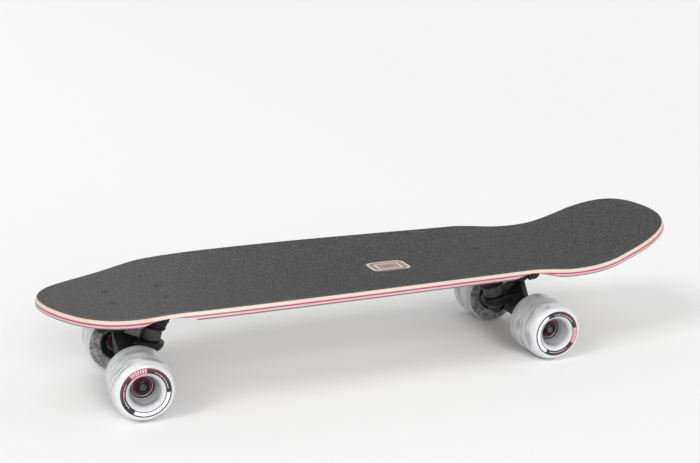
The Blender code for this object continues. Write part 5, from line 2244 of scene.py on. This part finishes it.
@dataclass(frozen=True)
class Truck:
    """One kind of truck, set at both ends of the board."""

    layout: BoardLayout
    shape: TruckShape
    axle_length: float = 0.1744
    axle_chamfer: float = 0.0008
    axle_round: float = 0.0002
    dimple: float = 0.0013
    nut_flats: float = 0.0127
    nut_height: float = 0.0060
    nut_at: float = 0.0828

    def axle(self) -> Mesh:
        """Makes the axle about Z, chamfered and centre-drilled.

        Returns:
            The axle.
        """
        end = self.axle_length / 2
        upper = [
            (0, end - self.dimple, 0),
            (self.dimple, end, 0),
            (AXLE_RADIUS - self.axle_chamfer, end, self.axle_round),
            (AXLE_RADIUS, end - self.axle_chamfer, self.axle_round),
        ]
        corners = upper + [(radius, -height, edge) for radius, height, edge in reversed(upper)]
        return turned(filleted(corners), AXLE_STEEL, segments=48)

    def build(self) -> None:
        """Sets the hangers, baseplates, risers, cups, axles and their nuts."""
        base = Baseplate(self.layout, self.shape)
        hanger, plate = Hanger(self.shape).build(), base.build()
        axle, cup, riser = self.axle(), base.cup(), base.riser()
        nut = HexNut(self.nut_flats, self.nut_height, AXLE_RADIUS + GAP).build()
        for end in End:
            place, moving = self.layout.truck(end), f"{end.word}_truck"
            for name, mesh, spot, body, slot, node in (
                ("cast_hanger", hanger, place, moving, Slot.CASTING, "hanger"),
                ("cast_baseplate", plate, place, "board", Slot.CASTING, "baseplate"),
                ("riser", riser, place, "board", Slot.RISER, "riser_pad"),
                ("pivot_liner", cup, place @ self.shape.pivot_place, "board", Slot.BUSHING, "pivot_cup"),
                ("axle_rod", axle, place @ TO_Y, moving, Slot.HARDWARE, "axle"),
            ):
                set_piece(f"{name}_{end.word}", [(mesh, spot)], body, slot, f"{node}_{end.word}")
            for side in Side:
                at = self.layout.wheel(end, side) @ Matrix.Translation((0, 0, self.nut_at))
                name = f"{end.word}_{side.word}"
                set_piece(f"axle_lock_nut_{name}", [(nut, at)], moving, Slot.HARDWARE, f"axle_nut_{name}")
        KingpinStack(self.shape).build(self.layout)
        for end in End:
            fitted = frame["nodes"][f"kingpin_{end.word}"]
            fitted.data.materials.clear()
            fitted.data.materials.append(material_of(BLACK_STEEL))


# Wheels


@dataclass(frozen=True)
class Bearing:
    """A bearing that stands on z = 0: its rings, and a pressed shield on each face."""

    radius: float = 0.0110
    width: float = 0.0070
    race: float = 0.0105
    edge_outer: float = 0.0106
    edge_inner: float = 0.0101
    shield_outer: float = 0.0102
    shield_step: float = 0.0066
    shield_inner: float = 0.0061
    hub: float = 0.0060
    crimps: int = 24
    crimp_ring: float = 0.0096
    crimp_half: Point = (0.00022, 0.0004)
    crimp_height: float = 0.00012
    crimp_sunk: float = 0.00034

    def build(self, steel: Finish, red: Finish) -> Mesh:
        """Makes the bearing.

        Args:
            steel: The finish of the shield's edge.
            red: The finish of the shield.

        Returns:
            The bearing.
        """
        top, bore = self.width, AXLE_RADIUS + GAP
        shield = [
            (self.shield_outer, top - 0.0003, 0),
            (self.shield_outer, 0.0003, 0),
            (self.shield_step, 0.0006, 0.0003),
            (self.shield_inner, 0.0004, 0.0002),
            (self.shield_inner, top - 0.0004, 0.0002),
            (self.shield_step, top - 0.0006, 0.0003),
        ]
        edge = tube(0.0001, top - 0.0001, (self.edge_outer, 0), (self.edge_inner, 0.0002))
        rings = (
            (tube(0, top, (self.radius, 0.0004), (self.race, 0.0001)), BLACK_STEEL),
            (edge, steel),
            (shield, red),
            (tube(0, top, (self.hub, 0.0003), (bore, 0.0003)), BLACK_STEEL),
        )
        parts = [(turned(filleted(corners, True), finish, True), HERE) for corners, finish in rings]
        wide, deep = self.crimp_half
        crimp = slab((-wide, -deep, 0), (wide, deep, self.crimp_height), 0.0001)
        sizes = {"Count": self.crimps, "Radius": self.crimp_ring, "Start": 0.0, "Sweep": TURN, "Seed": 3}
        crimps = tree(RingOfPieces).bake(dressed(crimp, red), red, **sizes)
        parts.append((crimps, Matrix.Translation((0, 0, top - self.crimp_sunk))))
        return assembled(parts)


@dataclass(frozen=True)
class Wheel:
    """A wheel about Z, with stations along the axle from its middle outward."""

    layout: BoardLayout
    radius: float = 0.0323
    inner_face: float = 0.0500
    width: float = 0.0515
    tread_from: float = 0.0040
    tread_to: float = 0.0360
    inner_round: float = 0.0035
    lip_outer: float = 0.0255
    lip_inner: float = 0.0197
    lip_crown: float = 0.0003
    mouth_radius: float = 0.0158
    mouth_depth: float = 0.0045
    floor_radius: float = 0.0124
    core_radius: float = 0.0150
    core_lip: float = 0.0118
    core_proud: float = 0.0007
    core_slope: float = 0.0030
    core_shoulder: float = 0.0096
    flare_radius: float = 0.0185
    flare_recess: float = 0.0010
    flare_wall: float = 0.0009
    flare_root: float = 0.0014
    funnel_radius: float = 0.0126
    funnel_recess: float = 0.0010
    inner_bearing: float = 0.0585
    outer_bearing: float = 0.0755
    bearing: Bearing = Bearing()
    print_lift: float = 0.00008
    print_margin: float = 0.0001
    red_from: float = 0.0233
    dash: Point = (0.00042, 0.00046)

    @property
    def outer_face(self) -> float:
        """Station of the lip's crown."""
        return self.inner_face + self.width

    @property
    def core_end(self) -> float:
        """Station of the core's outer lip."""
        return self.outer_bearing + self.bearing.width + self.core_proud

    def crown(self, radius: float) -> float:
        """Station of the lip's surface at a radius."""
        middle, half = (self.lip_outer + self.lip_inner) / 2, (self.lip_outer - self.lip_inner) / 2
        return self.outer_face - self.lip_crown * ((radius - middle) / half) ** 2

    def tyre(self, urethane: Finish) -> Mesh:
        """Makes the urethane, from the lip over the tread to the inner face and back by the bore.

        Args:
            urethane: Its finish.

        Returns:
            The tyre.
        """
        lip, foot = self.outer_face - self.lip_crown, self.inner_face
        shoulder = quarter((self.lip_outer, lip), (self.radius, foot + self.tread_to), 18)
        inner = quarter((self.radius - self.inner_round, foot), (self.radius, foot + self.tread_from), 9)
        radii = np.linspace(self.lip_inner, self.lip_outer, 9)[1:-1]
        hollow = [
            (self.flare_radius + self.flare_recess + GAP, foot, 0.0004),
            (self.flare_radius + GAP, foot + self.flare_recess, 0),
            (self.core_radius + GAP, self.inner_bearing + self.flare_root, 0),
            (self.core_radius + GAP, self.core_end - self.core_slope + GAP, 0),
            (self.core_lip + GAP, self.core_end + GAP, 0),
            (self.floor_radius, self.core_end + 2 * GAP, 0.0006),
            (self.mouth_radius, self.outer_face - self.mouth_depth, 0.0040),
            (self.lip_inner, lip, 0.0007),
            (self.lip_inner + 0.001, self.crown(self.lip_inner + 0.001), 0),
        ]
        before = (self.radius - self.inner_round, foot, 0)
        bore = filleted([before, *hollow], steps=8)[1:-1]
        crown = [(float(r), self.crown(float(r))) for r in radii[1:]]
        return turned(crown + shoulder + inner[::-1] + bore, urethane, True, 128)

    def core(self) -> Mesh:
        """Makes the hard core: two bearing seats either side of a shoulder, and an inner flare.

        Returns:
            The core.
        """
        seat = self.bearing.radius + GAP
        mouth = self.inner_face + self.flare_recess
        shoulder_from = self.inner_bearing + self.bearing.width + GAP
        corners = [
            (self.core_lip, self.core_end, 0.0002),
            (self.core_radius, self.core_end - self.core_slope, 0),
            (self.core_radius, self.inner_bearing + self.flare_root, 0.0010),
            (self.flare_radius, mouth, 0.0002),
            (self.flare_radius - self.flare_wall, mouth, 0.0003),
            (self.funnel_radius, self.inner_bearing - self.funnel_recess, 0.0015),
            (seat, self.inner_bearing - GAP, 0.0002),
            (seat, shoulder_from, 0),
            (self.core_shoulder, shoulder_from, 0),
            (self.core_shoulder, self.outer_bearing - GAP, 0),
            (seat, self.outer_bearing - GAP, 0),
            (seat, self.core_end, 0.0001),
        ]
        return turned(filleted(corners, True), NYLON, True, 96)

    def band(self, ink: Ink, radii: Span, arc: Span, lift: float) -> Part:
        """Prints a band on the lip.

        Args:
            ink: Its ink.
            radii: Its inner and outer radius.
            arc: Where it starts and how far it runs, in degrees from +X.
            lift: How far it stands off the lip, in layers of ink.

        Returns:
            The band and its place.
        """
        lift *= self.print_lift
        across = [float(r) for r in np.linspace(radii[1], radii[0], 5)]
        upper = [(r, self.crown(r) + lift) for r in reversed(across)]
        lower = [(r, self.crown(r) - lift) for r in across]
        start, sweep = (math.radians(value) for value in arc)
        wire = outline_mesh(upper + lower, True)
        sizes = {"Segments": max(6, int(arc[1] / 3)), "Swing": SWING, "Start": start, "Sweep": sweep}
        return tree(ArcSweep).bake(wire, ink, **sizes), HERE

    def dashes(
        self, ink: Ink, radius: float, arc: Span, count: int, seed: int
    ) -> Part:
        """Prints a row of small dashes on a band, in the place of small print.

        Args:
            ink: Its ink.
            radius: Radius of the row.
            arc: Where it starts and how far it runs, in degrees from +X.
            count: How many dashes it has.
            seed: The seed of their lengths.

        Returns:
            The row and its place.
        """
        wide, deep = self.dash
        dash = slab((-wide, -deep, 0.0), (wide, deep, 2 * self.print_lift), 0.00008)
        start, sweep = (math.radians(value) for value in arc)
        sizes = {"Count": count, "Radius": radius, "Start": start, "Sweep": sweep, "Seed": seed}
        lift = self.crown(radius) + 1.2 * self.print_lift
        return tree(RingOfPieces).bake(dressed(dash, ink), ink, **sizes), Matrix.Translation((0, 0, lift))

    def print_ring(self) -> Mesh:
        """Makes the printed ring: a charcoal and red arc with a pink panel, and an outlined white arc.

        Returns:
            The ring.
        """
        inner, outer = self.lip_inner + self.print_margin, self.lip_outer - self.print_margin
        parts = [
            self.band(ink, radii, arc, lift)
            for ink, radii, arc, lift in (
                (CHARCOAL_INK, (inner, outer), (-6, 242), 1.0),
                (RED_INK, (self.red_from, outer - 0.0003), (24, 170), 1.5),
                (PINK_INK, (inner + 0.0004, outer + 0.0001), (84, 46), 2.0),
                (WHITE_INK, (inner + 0.0006, outer - 0.0006), (238, 114), 1.0),
                (CHARCOAL_INK, (outer - 0.0013, outer), (235, 119), 1.5),
                (CHARCOAL_INK, (inner + 0.0001, inner + 0.0009), (235, 119), 1.5),
            )
        ]
        parts += [
            self.dashes(WHITE_INK, 0.0218, (6, 60), 13, 5),
            self.dashes(WHITE_INK, 0.0218, (150, 70), 15, 8),
            self.dashes(FAINT_INK, 0.0225, (258, 76), 16, 13),
        ]
        bars = (inner + 0.0012, outer - 0.0009)
        parts += [self.band(WHITE_INK, bars, (88 + 6 * step, 1.6), 2.6) for step in range(7)]
        return assembled(parts)

    def build(self) -> None:
        """Sets the four wheels."""
        core, printed = self.core(), self.print_ring()
        turns = {
            (End.FRONT, Side.LEFT): 0.0,
            (End.REAR, Side.LEFT): -118.0,
            (End.FRONT, Side.RIGHT): 70.0,
            (End.REAR, Side.RIGHT): 205.0,
        }
        inner = self.inner_bearing + self.bearing.width
        seats = (("inner", inner, OVER), ("outer", self.outer_bearing, HERE))
        for (end, side), turn in turns.items():
            axle = self.layout.axle(end)
            centre = (axle.x, 0.0, axle.z)
            tyre = self.tyre(MilkyUrethane(f"milky_urethane_{end.word}", centre))
            steel = TurnedMetal(f"bearing_steel_{end.word}", centre)
            reds = (srgb(112, 22, 50), srgb(62, 8, 26))
            red = TurnedMetal(f"red_shield_{end.word}", centre, *reds, roughness=0.34, metallic=0.35)
            bearing = self.bearing.build(steel, red)
            place = self.layout.wheel(end, side) @ Matrix.Rotation(math.radians(turn), 4, "Z")
            name = f"{end.word}_{side.word}"
            body = f"{name}_wheel"
            set_piece(f"tyre_{name}", [(tyre, place)], body, Slot.URETHANE, f"wheel_{name}")
            set_piece(f"hub_core_{name}", [(core, place)], body, Slot.CORE, f"wheel_core_{name}")
            set_piece(f"print_ring_{name}", [(printed, place)], body, Slot.URETHANE)
            for where, station, turned in seats:
                at = place @ Matrix.Translation((0, 0, station)) @ turned
                node = f"bearing_{where}_{name}"
                set_piece(f"ball_{node}", [(bearing, at)], body, Slot.BEARING, node)


# Studio


@dataclass(frozen=True)
class PaleFloor(Finish):
    """The studio's matt floor, with painted shade that makes it a little dimmer towards the tail."""

    name: str = "pale_floor"
    colour: Colour = srgb(252, 252, 252)
    # Painted shade of the light falling off towards the tail
    dimmed: Colour = srgb(248, 248, 248)
    dim_span: Span = (-0.3, 1.1)

    def paint(self, graph: Graph) -> dict:
        """Paints shade on the floor that slowly deepens towards the tail.

        Args:
            graph: The material's nodes.

        Returns:
            The shader's inputs by name.
        """
        falloff = graph.step(graph.split(graph.place())[0], *self.dim_span)
        tone = graph.mix(falloff, self.colour, self.dimmed)
        return {"Base Color": tone, "Roughness": 0.9, "Specular IOR Level": 0.1}


@dataclass(frozen=True)
class Lamp:
    """A soft lamp: its strength, and in degrees its spread and its tilts about X and Y."""

    name: str
    strength: float
    spread: float
    tilt: float
    lean: float

    def hang(self) -> None:
        """Hangs the lamp in the scene."""
        data = bpy.data.lights.new(self.name, "SUN")
        data.energy = self.strength
        data.angle = math.radians(self.spread)
        lamp = placed_object(self.name, data)
        lamp.rotation_euler = (math.radians(self.tilt), math.radians(self.lean), 0.0)


@dataclass(frozen=True)
class Studio:
    """The pale floor, the soft light and the camera."""

    camera_place: Vector = field(default_factory=lambda: Vector((-0.4731746, -1.19646, 0.476505)))
    yaw: float = 0.362813
    pitch: float = 0.253596
    roll: float = -0.008843
    lens: float = 62.08
    view_reach: float = 100.0
    floor_size: float = 40.0
    floor_cells: int = 8
    sky: float = 0.57
    backdrop: float = 0.95
    lamps: tuple[Lamp, ...] = (
        Lamp("low_front_softbox", 0.90, 25.0, 75.0, 0.0),
        Lamp("front_softbox", 0.94, 25.0, 60.0, 0.0),
        Lamp("side_softbox", 0.85, 25.0, 15.0, -45.0),
    )

    def floor(self) -> None:
        """Lays the floor, which keeps the object's shadow."""
        bm = bmesh.new()
        cells = {"x_segments": self.floor_cells, "y_segments": self.floor_cells}
        bmesh.ops.create_grid(bm, size=self.floor_size / 2, **cells)
        floor = placed_object("studio_floor", mesh_from(bm))
        floor.data.materials.append(material_of(PaleFloor()))

    def light(self) -> None:
        """Sets the even sky, pale where the camera and reflections see it, and the soft lamps."""
        world = bpy.data.worlds.new("studio")
        bpy.context.scene.world = world
        world.use_nodes = True
        graph = Graph(world.node_tree)
        path = graph.add("ShaderNodeLightPath").outputs
        seen = graph.math("MAXIMUM", path["Is Camera Ray"], path["Is Glossy Ray"])
        seen = graph.math("MAXIMUM", seen, path["Is Transmission Ray"])
        strength = graph.math("MULTIPLY_ADD", seen, self.backdrop - self.sky, self.sky)
        background = world.node_tree.nodes["Background"]
        graph.fill(background, {"Color": (1.0, 1.0, 1.0), "Strength": strength})
        for lamp in self.lamps:
            lamp.hang()

    def camera(self) -> None:
        """Sets the camera at the photograph's place and angle."""
        data = bpy.data.cameras.new("camera")
        data.lens = self.lens
        data.clip_end = self.view_reach
        camera = placed_object("camera", data)
        level = Vector((math.cos(self.yaw), -math.sin(self.yaw), 0))
        forward = Vector((math.sin(self.yaw), math.cos(self.yaw), 0))
        ahead = math.cos(self.pitch) * forward - math.sin(self.pitch) * Vector((0, 0, 1))
        upright = level.cross(ahead)
        right = math.cos(self.roll) * level + math.sin(self.roll) * upright
        up = math.cos(self.roll) * upright - math.sin(self.roll) * level
        turn = Matrix((right, up, -ahead)).transposed().to_4x4()
        camera.matrix_world = Matrix.Translation(self.camera_place) @ turn
        bpy.context.scene.camera = camera

    def build(self) -> None:
        """Sets up the whole studio."""
        bpy.context.scene.view_settings.view_transform = "Standard"
        self.floor()
        self.light()
        self.camera()


def main() -> None:
    """Builds the sub-assemblies in order."""
    logging.basicConfig(level=logging.INFO, format="%(message)s")
    layout = BoardLayout()
    shape = DeckShape(layout)
    Deck(layout, shape).build()
    MountingSet(layout).build()
    Truck(layout, TruckShape()).build()
    Wheel(layout).build()
    Studio().build()


if __name__ == "__main__":
    main()
